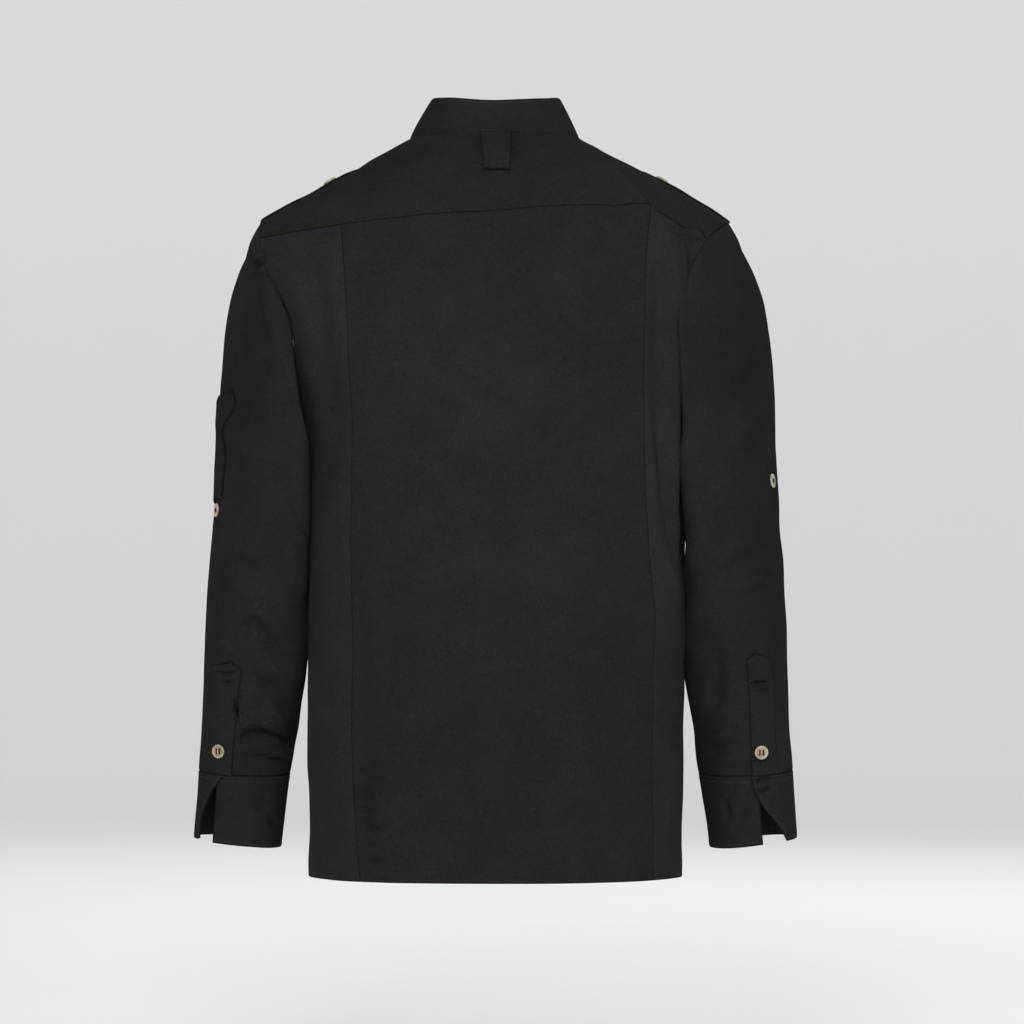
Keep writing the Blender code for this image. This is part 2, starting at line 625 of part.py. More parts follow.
def make_front(side):
    seam = front_side_seam(side)
    arm = armhole_run(side, SIDE_SEAM_TURN, SHOULDER_SEAM_TURN, ARM_FRONT_ROWS)
    outer = chain(seam, arm)
    angles = neck_angles(side)
    neck = np.stack([angles, np.full(angles.shape, NECK_LEVEL)], axis=-1)
    top = chain(shoulder_seam(side), neck)
    edge_x = CLOSING_X if side == "left" else UNDERLAP_X
    level = chain(
        rows_to(CLOSING_KNEE_LEVEL), np.linspace(CLOSING_KNEE_LEVEL, NECK_LEVEL, ARM_FRONT_ROWS + 1)
    )
    angle = angle_at_x(edge_x, level, True) + (0 if side == "left" else 2 * math.pi)
    edge = np.stack([angle, level], axis=-1)
    grid = patch(hem(outer[0][0], edge[0][0], len(top) - 1), top, outer, edge)
    lift = None
    if side == "right":
        x = trunk(grid[..., 0], grid[..., 1])[..., 0]
        lift = -(CLOTH + 2 * LAY_GAP) * ramp(x, *UNDERLAP_BLEND)
    trunk_wall(f"front_{side}", grid, lift)


# Collar, loop and epaulettes


def collar(angle, height):
    """The collar's outer surface; height runs from 0 at its seam to 1 at its top edge."""
    angle, height = np.broadcast_arrays(np.asarray(angle, float), np.asarray(height, float))
    foot = body(angle, np.full(angle.shape, NECK_LEVEL))
    foot[..., 2] += COLLAR_GAP
    back = np.sin(angle) > 0
    radius = roundness(angle, BODY_RINGS[-1][-1])
    depth = np.where(back, COLLAR_TOP["back_y"], -COLLAR_TOP["front_y"])
    end_z = np.where(back, COLLAR_TOP["back_z"], COLLAR_TOP["front_z"])
    top = np.stack([
        COLLAR_TOP["half_width"] * np.cos(angle) * radius,
        depth * np.sin(angle) * radius,
        COLLAR_TOP["side_z"] + (end_z - COLLAR_TOP["side_z"]) * np.sin(angle) ** 2,
    ], axis=-1)
    points = foot + (top - foot) * height[..., None]
    outwards = np.stack([np.cos(angle), np.sin(angle), np.zeros_like(angle)], axis=-1)
    return points + outwards * (COLLAR_BOW * 4 * height * (1 - height))[..., None]


def make_collar(yoke_angles):
    left, right = neck_angles("left"), neck_angles("right")[:RIGHT_NECK_COLUMNS + 1]
    angles = np.concatenate([left[::-1], yoke_angles[1:-1], right])
    angle, height = np.meshgrid(angles, np.linspace(0, 1, COLLAR_ROWS + 1))
    wall("collar", collar(angle, height), normals(collar, angle, height), STIFF_CLOTH)


def make_neck_loop():
    share, across = np.meshgrid(np.linspace(0, 1, 10), np.linspace(0, 1, 4), indexing="ij")
    level = LOOP_LEVELS[0] + (LOOP_LEVELS[1] - LOOP_LEVELS[0]) * share
    start = LOOP_TOP_X[0] + (LOOP_FOOT_X[0] - LOOP_TOP_X[0]) * share
    end = LOOP_TOP_X[1] + (LOOP_FOOT_X[1] - LOOP_TOP_X[1]) * share
    angle = angle_at_x(start + (end - start) * across, level)
    out = normals(trunk, angle, level)
    folded = ramp(share, 0.76, 0.80)
    thickness = LOOP_CLOTH + (LOOP_FOLD_CLOTH - LOOP_CLOTH) * folded
    bow = LOOP_BOW * np.sin(math.pi * np.clip(share / 0.9, 0, 1)) ** 0.8
    points = trunk(angle, level) + out * (LAY_GAP + thickness + bow)[..., None]
    wall("neck_loop", points, out, thickness)


def shoulder_point(side, angle, level, lift):
    """A point over the shoulder of this side, and the normal there."""
    angle = on_side(side, angle)
    out = normals(trunk, angle, level)
    return trunk(angle, level) + out * lift, out


def make_epaulette(side):
    share, across = np.meshgrid(np.linspace(0, 1, 9), np.linspace(-1, 1, 7), indexing="ij")
    start, end = EPAULETTE_LEVELS
    point = EPAULETTE_POINT * (1 - np.abs(across)) * share**4
    level = start + (end - start) * share + point
    half = EPAULETTE_HALF_WIDTHS[0] + np.diff(EPAULETTE_HALF_WIDTHS)[0] * share
    centre = EPAULETTE_CENTRES_Y[0] + np.diff(EPAULETTE_CENTRES_Y)[0] * share
    angle = on_side(side, angle_at_y(centre + half * across, level))
    out = normals(trunk, angle, level)
    points = trunk(angle, level) + out * (LAY_GAP + CLOTH)
    wall(f"epaulette_{side}", points, out)
    level = EPAULETTE_BUTTON_LEVEL
    centre = np.interp(level, EPAULETTE_LEVELS, EPAULETTE_CENTRES_Y)
    place = shoulder_point(side, angle_at_y(centre, level), level, LAY_GAP + CLOTH)
    make_button(f"epaulette_button_{side}", *place)


# Sleeves and cuffs


def section(ring, turn, tilt):
    """A ring of the wearer's left arm at these turns."""
    radius = roundness(turn, ring["squareness"])
    inner = np.stack([ring["inner_x"], ring["inner_z"]], axis=-1)
    outer = np.stack([ring["outer_x"], ring["outer_z"]], axis=-1)
    middle, half = (inner + outer) / 2, (outer - inner) / 2
    xz = middle - half * (np.cos(turn) * radius)[..., None]
    depth = ring["half_depth"] * np.sin(turn) * radius
    x = xz[..., 0] - ring["lean"] * depth
    return np.stack([x, ring["centre_y"] + depth, xz[..., 1] - tilt * depth], axis=-1)


def mirrored(side, points):
    """Points of the wearer's left, moved to this side."""
    return points * np.array([SIDES[side], 1, 1])


def crease_height(side, along, turn):
    total = np.zeros_like(along)
    for row in SLEEVE_CREASES[side]:
        crease = dict(zip(CREASE_COLUMNS, row))
        round_by = (turn - crease["turn"] + math.pi) % (2 * math.pi) - math.pi
        off = (along - crease["along"] - crease["slant"] * round_by) / crease["reach"]
        total += crease["height"] * np.exp(-(off**2) - (round_by / crease["turn_reach"]) ** 2)
    return total


def sleeve_form(side):
    """The sleeve's outer surface with no creases, as a function of (along, turn). Behind and in
    front of the underarm the cloth is drawn from the seam to a ring lower down, bowed out."""

    def form(along, turn):
        along, turn = np.broadcast_arrays(np.asarray(along, float), np.asarray(turn, float))
        tilt = SLEEVE_TILT * ramp(along, SLEEVE_LENGTH / 2, SLEEVE_LENGTH)
        ring = table(SLEEVE_COLUMNS, SLEEVE_RINGS, along)
        first = table(SLEEVE_COLUMNS, SLEEVE_RINGS, np.zeros_like(along))
        drawn = table(SLEEVE_COLUMNS, SLEEVE_RINGS, np.full(along.shape, DRAWN_LENGTH))
        points = mirrored(side, section(ring, turn, tilt))
        start = mirrored(side, section(first, turn, 0.0))
        end = mirrored(side, section(drawn, turn, 0.0))
        edge = armhole(side, turn)
        seam = trunk(edge[..., 0], edge[..., 1])
        points += (seam - start) * (1 - ramp(along, 0, SEAM_BLEND))[..., None]
        off_underarm = np.abs((turn + math.pi) % (2 * math.pi) - math.pi)
        taut = ramp(off_underarm, *DRAWN_TURNS[:2]) * (1 - ramp(off_underarm, *DRAWN_TURNS[2:]))
        taut *= 1 - ramp(along, DRAWN_LENGTH * 0.3, DRAWN_LENGTH)
        share = np.minimum(along / DRAWN_LENGTH, 1)
        straight = seam + (end - seam) * share[..., None]
        straight[..., 1] += DRAWN_BOW * np.sin(turn) * np.sqrt(share.clip(0)) * (1 - share)
        return points + (straight - points) * taut[..., None]

    return form


def sleeve(side):
    """The sleeve's outer surface with its creases. Its outward normals are those of normals(),
    turned round on the left side."""
    plain = sleeve_form(side)

    def form(along, turn):
        along, turn = np.broadcast_arrays(np.asarray(along, float), np.asarray(turn, float))
        out = normals(plain, along, turn) * -SIDES[side]
        return plain(along, turn) + out * crease_height(side, along, turn)[..., None]

    return form


def sleeve_sheet(side):
    """The sleeve's own points: its places along, its turns, and the grids of points and normals,
    with the first column repeated at the end."""
    turns = armhole_turns(side)
    turns = np.append(turns, turns[0] - 2 * math.pi)
    along, turn = np.meshgrid(SLEEVE_ROWS, turns, indexing="ij")
    form = sleeve(side)
    out = normals(form, along, turn) * -SIDES[side]
    return np.array(SLEEVE_ROWS), turns, form(along, turn), out


def make_sleeve(side):
    """The rim at the armhole is cut along the trunk's normals where the sleeve turns down from
    them, so that it stays clear of the panels' own rims."""
    _, turns, points, out = sleeve_sheet(side)
    edge = armhole(side, turns)
    facing = normals(trunk, edge[..., 0], edge[..., 1])
    leaving = ((points[1] - points[0]) * facing).sum(axis=-1, keepdims=True) > 0
    out[0] = np.where(leaving, out[0], facing)
    points[0] += facing * SEAM_GAP / 2
    wall(f"sleeve_{side}", points[:, :-1], out[:, :-1], closed=True)


def stops(knots, start, end):
    """From start to end with the knots between them, so that what lies on a sheet bends with it."""
    low, high = sorted((start, end))
    between = sorted((k for k in knots if low < k < high), reverse=start > end)
    return np.array([start, *between, end])


def on_sheet(sheet, along, turn, lift):
    """Points moved out by lift from the sheet's own facets, and their normals."""
    rows, turns, points, out = sheet
    row = np.interp(along, rows, np.arange(len(rows)))
    column = np.interp(-turn, -turns, np.arange(len(turns)))
    r = np.clip(row.astype(int), 0, len(rows) - 2)
    c = np.clip(column.astype(int), 0, len(turns) - 2)
    up, across = (row - r)[..., None], (column - c)[..., None]

    def read(grid):
        low = grid[r, c] * (1 - across) + grid[r, c + 1] * across
        high = grid[r + 1, c] * (1 - across) + grid[r + 1, c + 1] * across
        return low * (1 - up) + high * up

    facing = unit(read(out))
    return read(points) + facing * np.asarray(lift)[..., None], facing


def cuff(side):
    """The cuff's outer surface as a function of (share of its height, turn)."""
    last = dict(zip(SLEEVE_COLUMNS, SLEEVE_RINGS[-1]))

    def form(share, turn):
        share, turn = np.broadcast_arrays(np.asarray(share, float), np.asarray(turn, float))
        ring = {key: last[key] + (CUFF_END[key] - last[key]) * share for key in CUFF_END}
        ring["lean"] = np.zeros_like(share)
        ring["squareness"] = last["squareness"]
        points = mirrored(side, section(ring, turn, SLEEVE_TILT))
        points[..., 2] -= SEAM_GAP
        return points

    return form


def make_cuff(side):
    form = cuff(side)
    share, across = np.meshgrid(
        np.linspace(0, 1, CUFF_ROWS + 1), np.linspace(0, 1, CUFF_COLUMNS + 1), indexing="ij"
    )
    down, ends = zip(*FLAP_ENDS[side])
    flap_end = np.radians(smooth(share, down, ends)) - 2 * math.pi
    start = UNDERLAP_TURN[side]
    turn = start + (flap_end - start) * across
    to_end = turn - (start - 2 * math.pi)
    out = normals(form, share, turn) * -SIDES[side]
    lifted = 1 - ramp(to_end, 0, FLAP_BLEND)
    lift = (STIFF_CLOTH + LAY_GAP) * lifted + FLAP_FLARE * lifted * share**2
    points = form(share, turn) + out * lift[..., None]
    points[..., 2] += FLAP_RISE[side] * lifted * share
    wall(f"cuff_{side}", points, out, STIFF_CLOTH)


def make_placket(side):
    sheet = sleeve_sheet(side)
    size = dict(zip(PLACKET_COLUMNS, PLACKETS[side]))
    slits, outers, point = size["slit_turns"], size["outer_turns"], size["point"]
    rows = np.append(size["top"], stops(sheet[0], size["top"] + point, size["foot"]))
    columns = stops(sheet[1], slits.min(), outers.max())
    along, turn = np.meshgrid(rows, columns, indexing="ij")
    down = (rows - size["top"]) / (size["foot"] - size["top"])
    slit, outer = (ends[0] + (ends[1] - ends[0]) * down[:, None] for ends in (slits, outers))
    inset = PLACKET_NARROWEST * np.arange(len(columns))
    turn = np.clip(turn, slit + inset, outer - inset[::-1])
    along[0] += point * np.abs((turn[0] - slit[0]) / (outer[0] - slit[0]) - PLACKET_PEAK)
    lift = LAY_GAP + CLOTH
    points, out = on_sheet(sheet, along, turn, lift)
    wall(f"placket_{side}", points, out)
    place = [np.array(value) for value in PLACKET_BUTTONS[side]]
    make_button(f"placket_button_{side}", *on_sheet(sheet, *place, lift))


def make_sleeve_pocket():
    sheet = sleeve_sheet("left")
    rows, turns = stops(sheet[0], *POCKET_ALONG), stops(sheet[1], *POCKET_TURNS)
    along, turn = np.meshgrid(rows, turns, indexing="ij")
    share = (along - rows[0]) / (rows[-1] - rows[0])
    across = (turn - turns[0]) / (turns[-1] - turns[0])
    puff = POCKET_PUFF * np.sqrt(4 * across * (1 - across) * (1 - share**2))
    points, out = on_sheet(sheet, along, turn, LAY_GAP + CLOTH + puff)
    wall("sleeve_pocket", points, out)


def make_roll_button(side):
    place = [np.array(value) for value in ROLL_BUTTONS[side]]
    make_button(f"roll_button_{side}", *on_sheet(sleeve_sheet(side), *place, 0.0))


# Buttons


def make_button(name, place, facing):
    """A dished round button that lies on the cloth at `place` and faces `facing`."""
    facing = unit(np.asarray(facing, float))
    aside = unit(np.cross(facing, (0, 0, 1) if abs(facing[2]) < 0.9 else (0, 1, 0)))
    up = np.cross(aside, facing)
    base = np.asarray(place, float) + facing * BUTTON_GAP
    shape = bmesh.new()
    loops = []
    for radius, height in BUTTON_PROFILE:
        loop = []
        for k in range(BUTTON_SIDES):
            turn = 2 * math.pi * k / BUTTON_SIDES
            rim = (aside * math.cos(turn) + up * math.sin(turn)) * BUTTON_RADIUS * radius
            loop.append(shape.verts.new(base + rim + facing * BUTTON_HEIGHT * height))
        loops.append(loop)
    for low, high in zip(loops, loops[1:]):
        for k in range(BUTTON_SIDES):
            following = (k + 1) % BUTTON_SIDES
            shape.faces.new((low[k], low[following], high[following], high[k])).smooth = True
    shape.faces.new(loops[0][::-1])
    shape.faces.new(loops[-1])
    bmesh.ops.recalc_face_normals(shape, faces=shape.faces)
    mesh = bpy.data.meshes.new(name)
    shape.to_mesh(mesh)
    shape.free()
    mesh.set_sharp_from_angle(angle=math.radians(35))
    new_object(name, mesh, "horn", 0.4)


def make_front_buttons():
    for number, level in enumerate(FRONT_BUTTON_LEVELS, 1):
        angle = angle_at_x(FRONT_BUTTON_X, level, True)
        make_button(
            f"front_button_{number}", trunk(angle, level), normals(trunk, angle, level)
        )


def main():
    for old in list(bpy.data.objects):
        bpy.data.objects.remove(old)
    make_back()
    yoke_angles = make_yoke()
    make_collar(yoke_angles)
    make_neck_loop()
    for side in SIDES:
        make_side_panel(side)
        make_front(side)
        make_epaulette(side)
        make_sleeve(side)
        make_placket(side)
        make_cuff(side)
        make_roll_button(side)
    make_sleeve_pocket()
    make_front_buttons()


main()
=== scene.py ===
"""The chef jacket, dressed: cloth, sewing, buttons, light and camera. Blender 4.5, metres.

The forms and tables of the first part are those of the solids, read on finer grids. On them lie
creases, a slight swell, rolled and topstitched edges, stitches, buttonholes and drilled buttons."""

from math import cos, pi, radians, sin

import bmesh
import bpy
import numpy as np
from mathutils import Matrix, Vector

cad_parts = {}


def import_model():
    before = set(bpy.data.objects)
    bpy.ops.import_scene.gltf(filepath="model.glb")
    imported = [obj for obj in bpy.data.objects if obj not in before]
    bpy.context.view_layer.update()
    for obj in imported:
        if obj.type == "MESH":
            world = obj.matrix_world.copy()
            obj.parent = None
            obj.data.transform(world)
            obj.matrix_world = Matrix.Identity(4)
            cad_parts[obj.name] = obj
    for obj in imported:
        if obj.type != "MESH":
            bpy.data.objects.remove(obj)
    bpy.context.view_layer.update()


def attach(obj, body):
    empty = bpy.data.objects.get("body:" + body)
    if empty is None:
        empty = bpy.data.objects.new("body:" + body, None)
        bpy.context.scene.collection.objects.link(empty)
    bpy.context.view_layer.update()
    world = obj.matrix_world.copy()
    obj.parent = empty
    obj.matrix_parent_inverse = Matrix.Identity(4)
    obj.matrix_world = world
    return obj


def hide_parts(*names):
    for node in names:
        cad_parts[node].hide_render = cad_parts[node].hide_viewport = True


FINE_COLUMNS, FINE_ROWS = 6, 10  # cells of a sheet to one coarse cell of its solid
EDGE_LINES = (0.08, 0.25, 0.55)  # further lines within an outermost cell, as shares of it
SHARP_FOLD, SHARP_HORN = radians(50), radians(35)

CLOTH = 0.0010
STIFF_CLOTH = 0.0018  # collar and cuffs
EPAULETTE_CLOTH = 0.0016
PLACKET_CLOTH = 0.0012
HEM_WIDTH = 0.019  # turned up inside
HEM_CLOTH = 0.0009  # further thickness there
HEM_STEP = 0.0004  # level over which that thickness ends
SEAM_GAP = 0.0002
SEAM_LAP = 0.0006  # how far the edges of a piece of the trunk run on past their seams
LAY_GAP = 0.0005
STEP = 1e-4  # for slopes, in the units of a form's own places
MM, DEGREE = 0.001, radians(1)

SIDES = {"left": 1, "right": -1}  # the wearer's, and the sign of X there

# Trunk, from the hem up to the neck
RING_COLUMNS = (
    "level", "side_z", "back_z", "front_z", "half_width", "back_y", "front_y", "squareness",
)
BODY_RINGS = (
    (0.000, -0.762, -0.762, -0.762, 0.1930, 0.138, -0.138, 2.45),  # hem
    (0.100, -0.662, -0.662, -0.662, 0.1930, 0.135, -0.136, 2.45),  # hip
    (0.260, -0.502, -0.502, -0.502, 0.1925, 0.126, -0.132, 2.45),  # waist
    (0.400, -0.361, -0.361, -0.362, 0.1955, 0.129, -0.137, 2.55),  # ribs
    (0.470, -0.292, -0.290, -0.296, 0.2015, 0.134, -0.140, 2.65),  # underarm
    (0.560, -0.203, -0.202, -0.222, 0.2326, 0.137, -0.138, 2.75),  # chest
    (0.645, -0.118, -0.124, -0.156, 0.2700, 0.131, -0.126, 2.60),  # shoulder blades
    (0.680, -0.093, -0.094, -0.131, 0.2400, 0.122, -0.119, 2.50),  # shoulder tips
    (0.740, -0.045, -0.043, -0.101, 0.1600, 0.097, -0.104, 2.30),  # middle of the shoulders
    (0.790, -0.006, 0.000, -0.075, 0.0880, 0.060, -0.083, 2.20),  # neck
)
HEM_LEVEL, NECK_LEVEL = BODY_RINGS[0][0], BODY_RINGS[-1][0]

# Large folds of the trunk's back, as (z, x) from the top down
FOLD_COLUMNS = ("height", "inner_reach", "outer_reach", "top_fade", "foot_fade", "line")
BACK_FOLDS = {
    "right shoulder ridge": (
        0.008, 0.020, 0.0070, 0.060, 0.090,
        ((-0.008, -0.088), (-0.044, -0.119), (-0.085, -0.153), (-0.110, -0.175),
         (-0.140, -0.180), (-0.195, -0.179), (-0.257, -0.180), (-0.323, -0.180),
         (-0.374, -0.180), (-0.415, -0.183), (-0.510, -0.188)),
    ),
    "right trough": (
        -0.007, 0.009, 0.009, 0.030, 0.060,
        ((-0.135, -0.166), (-0.257, -0.164), (-0.374, -0.166), (-0.420, -0.170),
         (-0.470, -0.177)),
    ),
    "right bend": (
        0.004, 0.007, 0.007, 0.050, 0.030,
        ((-0.330, -0.153), (-0.402, -0.160), (-0.435, -0.167), (-0.464, -0.176),
         (-0.483, -0.182)),
    ),
    "left trough": (
        -0.007, 0.016, 0.012, 0.050, 0.050,
        ((-0.150, 0.180), (-0.236, 0.175), (-0.317, 0.169), (-0.350, 0.176),
         (-0.385, 0.190)),
    ),
}
FOLDED_DEPTH = (0.035, 0.080)  # y over which the back's folds fade in

# Armholes in (angle, level): the half turned to the back and the half turned to the front
UNDERARM_LEVEL, TIP_LEVEL = 0.470, 0.680
ARMHOLE_COLUMNS = ("half_angle", "centre_level", "under_squareness", "top_squareness")
ARMHOLES = {
    ("left", "back"): (radians(38), 0.605, 1.95, 2.6),
    ("right", "back"): (radians(48), 0.605, 1.95, 2.6),
    ("left", "front"): (radians(33), 0.600, 2.2, 2.2),
    ("right", "front"): (radians(33), 0.600, 2.2, 2.2),
}
YOKE_TURN = radians(127)
SIDE_SEAM_TURN = radians(-60)
SHOULDER_SEAM_TURN = radians(-135)

# Seams of the back, as (z, x) or (x, z)
BACK_SEAMS = {
    "left": ((-0.758, 0.136), (-0.742, 0.138), (-0.710, 0.141), (-0.680, 0.144),
             (-0.623, 0.146), (-0.378, 0.146), (-0.277, 0.147), (-0.183, 0.150),
             (-0.132, 0.153), (-0.106, 0.155)),
    "right": ((-0.740, -0.161), (-0.569, -0.161), (-0.487, -0.161), (-0.451, -0.157),
              (-0.417, -0.154), (-0.382, -0.151), (-0.277, -0.149), (-0.217, -0.150),
              (-0.132, -0.152), (-0.083, -0.155)),
}
YOKE_SEAM = (
    (-0.217, -0.112), (-0.198, -0.103), (-0.182, -0.098), (-0.168, -0.0910), (-0.155, -0.0840),
    (-0.116, -0.0815), (-0.084, -0.081), (-0.006, -0.085), (0.085, -0.092), (0.116, -0.095),
    (0.182, -0.104), (0.238, -0.114),
)
FRONT_SEAM_ANGLE = radians(-30)
UNDER_CORNER_ANGLE = {"left": radians(30), "right": radians(24)}
CLOSING_KNEE_LEVEL = 0.46
SHOULDER_SEAM_NECK = radians(-26)
NECK_BACK_ANGLES = {"left": (radians(35), radians(62)),
                    "right": (radians(24), radians(46))}

# Closing: the left front laps over the right one
CLOSING_X = -0.050
COLLAR_END_X = -0.054
UNDERLAP_X = -0.005
UNDERLAP_BLEND = (-0.078, -0.056)
UNDERLAP_SINK = 0.0026

# Columns and rows of the trunk's pieces on the solids' coarse grids
BACK_COLUMNS, SIDE_COLUMNS, ARM_COLUMNS = 12, 7, 8
UNDERARM_COLUMNS, ARM_FRONT_ROWS = 14, 8
TRUNK_ROWS, YOKE_ROWS = 16, 7
SHOULDER_COLUMNS, NECK_COLUMNS = 5, 7
RIGHT_NECK_COLUMNS, UNDERLAP_COLUMNS = 3, 3
ROW_CROWDING = 1.3
ANGLE_SCALE = 0.2
EVENING_STEPS = 400
HALVINGS, SEAM_ROUNDS = 30, 4  # steps towards the level of a height, and towards a seam

# Collar
COLLAR_TOP = {"half_width": 0.0650, "back_y": 0.0555, "front_y": -0.0765,
              "side_z": 0.0345, "back_z": 0.0308, "front_z": -0.0400}
COLLAR_GAP = 0.0002
COLLAR_LAP = 0.10  # share of its height by which the collar laps over the neck edge
COLLAR_BOW = 0.0015
COLLAR_ROWS = 3

# Sleeves, for the wearer's left: a ring runs from its inner point over the back to its outer one
SLEEVE_COLUMNS = (
    "along", "inner_x", "inner_z", "outer_x", "outer_z", "centre_y", "half_depth", "lean",
    "squareness",
)
SLEEVE_RINGS = (
    (0.000, 0.2015, -0.2925, 0.2405, -0.0915, 0.002, 0.078, 0.00, 2.3),  # armhole
    (0.020, 0.2032, -0.2985, 0.2515, -0.1125, 0.003, 0.084, 0.00, 2.3),
    (0.040, 0.2045, -0.3060, 0.2590, -0.1300, 0.006, 0.089, 0.09, 2.4),
    (0.062, 0.2045, -0.3160, 0.2640, -0.1520, 0.007, 0.090, 0.20, 2.5),
    (0.090, 0.2040, -0.3300, 0.2680, -0.1800, 0.006, 0.089, 0.29, 2.6),
    (0.130, 0.2040, -0.3500, 0.2700, -0.2200, 0.005, 0.086, 0.36, 2.7),
    (0.180, 0.2040, -0.3800, 0.2735, -0.2700, 0.003, 0.081, 0.37, 2.7),  # biceps
    (0.240, 0.2015, -0.4150, 0.2785, -0.3300, -0.001, 0.077, 0.34, 2.6),
    (0.300, 0.1993, -0.4500, 0.2862, -0.3900, -0.006, 0.072, 0.30, 2.5),  # elbow
    (0.360, 0.1970, -0.4900, 0.2930, -0.4500, -0.012, 0.067, 0.26, 2.4),
    (0.420, 0.1955, -0.5300, 0.2980, -0.5100, -0.018, 0.062, 0.20, 2.3),
    (0.475, 0.1980, -0.5720, 0.3020, -0.5650, -0.024, 0.057, 0.08, 2.2),  # forearm
    (0.525, 0.2050, -0.6175, 0.3052, -0.6150, -0.029, 0.053, 0.03, 2.2),
    (0.568, 0.2110, -0.6600, 0.3083, -0.6570, -0.033, 0.049, 0.00, 2.2),  # cuff seam
)
SLEEVE_TILT = 0.05
SLEEVE_LENGTH = SLEEVE_RINGS[-1][0]
SEAM_BLEND = 0.110
DRAWN_LENGTH = 0.140  # of cloth drawn straight from the armhole
DRAWN_FADE = 0.3  # share of it where that begins to give way
DRAWN_BOW = 0.021
DRAWN_TURNS = np.radians((15, 45, 105, 150))
SLEEVE_CELLS = 140  # along each sleeve

# Creases in a sleeve's own places. A slant is the change of along for each radian of turn.
CREASE_COLUMNS = ("height", "along", "slant", "reach", "turn", "turn_reach")
CREASE_UNITS = (MM, MM, MM, MM, DEGREE, DEGREE)
SLEEVE_CREASES = {
    "left": (
        (-3, 34, 0, 14, 142, 24),
        (2.5, 300, -20, 16, 75, 40),
        (-3, 345, -25, 18, 70, 45),
        (-3.5, 528, -10, 12, 60, 38),
        (2.5, 548, 0, 9, 60, 40),
        (-1.2, 500, 18, 6, 95, 30),
        (1, 385, -30, 8, 60, 35),
        (-1.2, 255, -28, 8, 62, 34),
        (1.2, 110, -45, 9, 60, 30),
        (-1.4, 290, 24, 8, -62, 44),
        (1.2, 320, 30, 9, -70, 38),
        (-1.3, 352, 20, 8, -55, 40),
        (-1.2, 200, 35, 10, -80, 36),
        (1, 545, -10, 7, -75, 44),
        (-1.1, 520, 14, 7, -95, 40),
        (1, 90, 40, 10, -70, 32),
    ),
    "right": (
        (-3, 34, 0, 14, 145, 26),
        (2.5, 290, -20, 16, 75, 40),
        (-3, 330, -20, 18, 60, 45),
        (-2.5, 530, 6, 12, 55, 38),
        (1.2, 548, 4, 7, 70, 34),
        (1, 400, -28, 8, 66, 36),
        (-1.2, 245, -30, 9, 58, 36),
        (1.2, 120, -40, 10, 64, 28),
        (-1.3, 300, 26, 9, -66, 40),
        (1.1, 335, 22, 8, -58, 42),
        (-1.2, 372, 30, 8, -74, 36),
        (-1.2, 190, 30, 10, -74, 40),
        (1.1, 538, 12, 7, -90, 42),
        (1, 100, 44, 10, -66, 30),
    ),
}

# Cuffs
CUFF_END = {"inner_x": 0.2205, "inner_z": -0.7365, "outer_x": 0.3135, "outer_z": -0.7265,
            "centre_y": -0.038, "half_depth": 0.044}
CUFF_ROWS, CUFF_COLUMNS = 5, 28
UNDERLAP_TURN = {"left": radians(122), "right": radians(101)}
FLAP_ENDS = {
    "left": ((0.0, 112), (0.08, 117), (0.42, 132), (0.72, 141), (1.0, 141)),
    "right": ((0.0, 93), (0.2, 95), (0.47, 105), (0.8, 126), (1.0, 138)),
}
FLAP_RISE = {"left": 0.006, "right": 0.001}
FLAP_BLEND = radians(38)
FLAP_LIFT = 0.0025
FLAP_FLARE = 0.005

# Plackets
PLACKET_COLUMNS = ("slit_turns", "outer_turns", "top", "foot", "point")
PLACKETS = {
    "left": (np.radians((-251, -257)), np.radians((-210, -212)), 0.449, SLEEVE_LENGTH, 0.014),
    "right": (np.radians((-252, -266)), np.radians((-224, -232)), 0.439, SLEEVE_LENGTH, 0.014),
}
PLACKET_PEAK = 0.4
PLACKET_LIFT = 0.0021  # of the solids' outer face over the sleeve
PLACKET_CELLS = (60, 24)

# Pen pocket on the left sleeve
POCKET_TURNS = (radians(-186), radians(-133))
POCKET_ALONG = (0.176, 0.286)
POCKET_PUFF = 0.0022
POCKET_CELLS = (60, 36)

# Epaulettes
EPAULETTE_LEVELS = (0.6795, 0.7440)
EPAULETTE_POINT = 0.008
EPAULETTE_HALF_WIDTHS = (0.024, 0.019)
EPAULETTE_CENTRES_Y = (0.005, -0.014)  # at the armhole and at the neck
EPAULETTE_LIFT = 0.0023

# Neck loop
LOOP_TOP_X, LOOP_FOOT_X = (-0.0164, 0.0158), (-0.0150, 0.0112)
LOOP_LEVELS = (0.7885, 0.7375)
LOOP_BOW = 0.0030
LOOP_CLOTH = 0.0012
LOOP_FOLD_CLOTH = 0.0030
LOOP_FOLD = (0.795, 0.815)  # where the folded foot begins
LOOP_BOW_END, LOOP_BOW_POWER = 0.9, 0.8
LOOP_CLEARANCE = 0.0004
LOOP_GRID, EPAULETTE_GRID = (70, 25), (70, 45)

# Buttons
BUTTON_RADIUS, BUTTON_HEIGHT = 0.0072, 0.0028
BUTTON_GAP = 0.0004
FRONT_BUTTON_X = -0.030
FRONT_BUTTON_LEVELS = (0.690, 0.610, 0.530, 0.450, 0.370, 0.290, 0.210, 0.130)
PLACKET_BUTTONS = {"left": (0.543, radians(-239)), "right": (0.5435, radians(-252))}
ROLL_BUTTONS = {"left": (0.298, radians(-174)), "right": (0.268, radians(-176))}
EPAULETTE_BUTTON_LEVEL = 0.7330
BUTTON_SIDES = 40
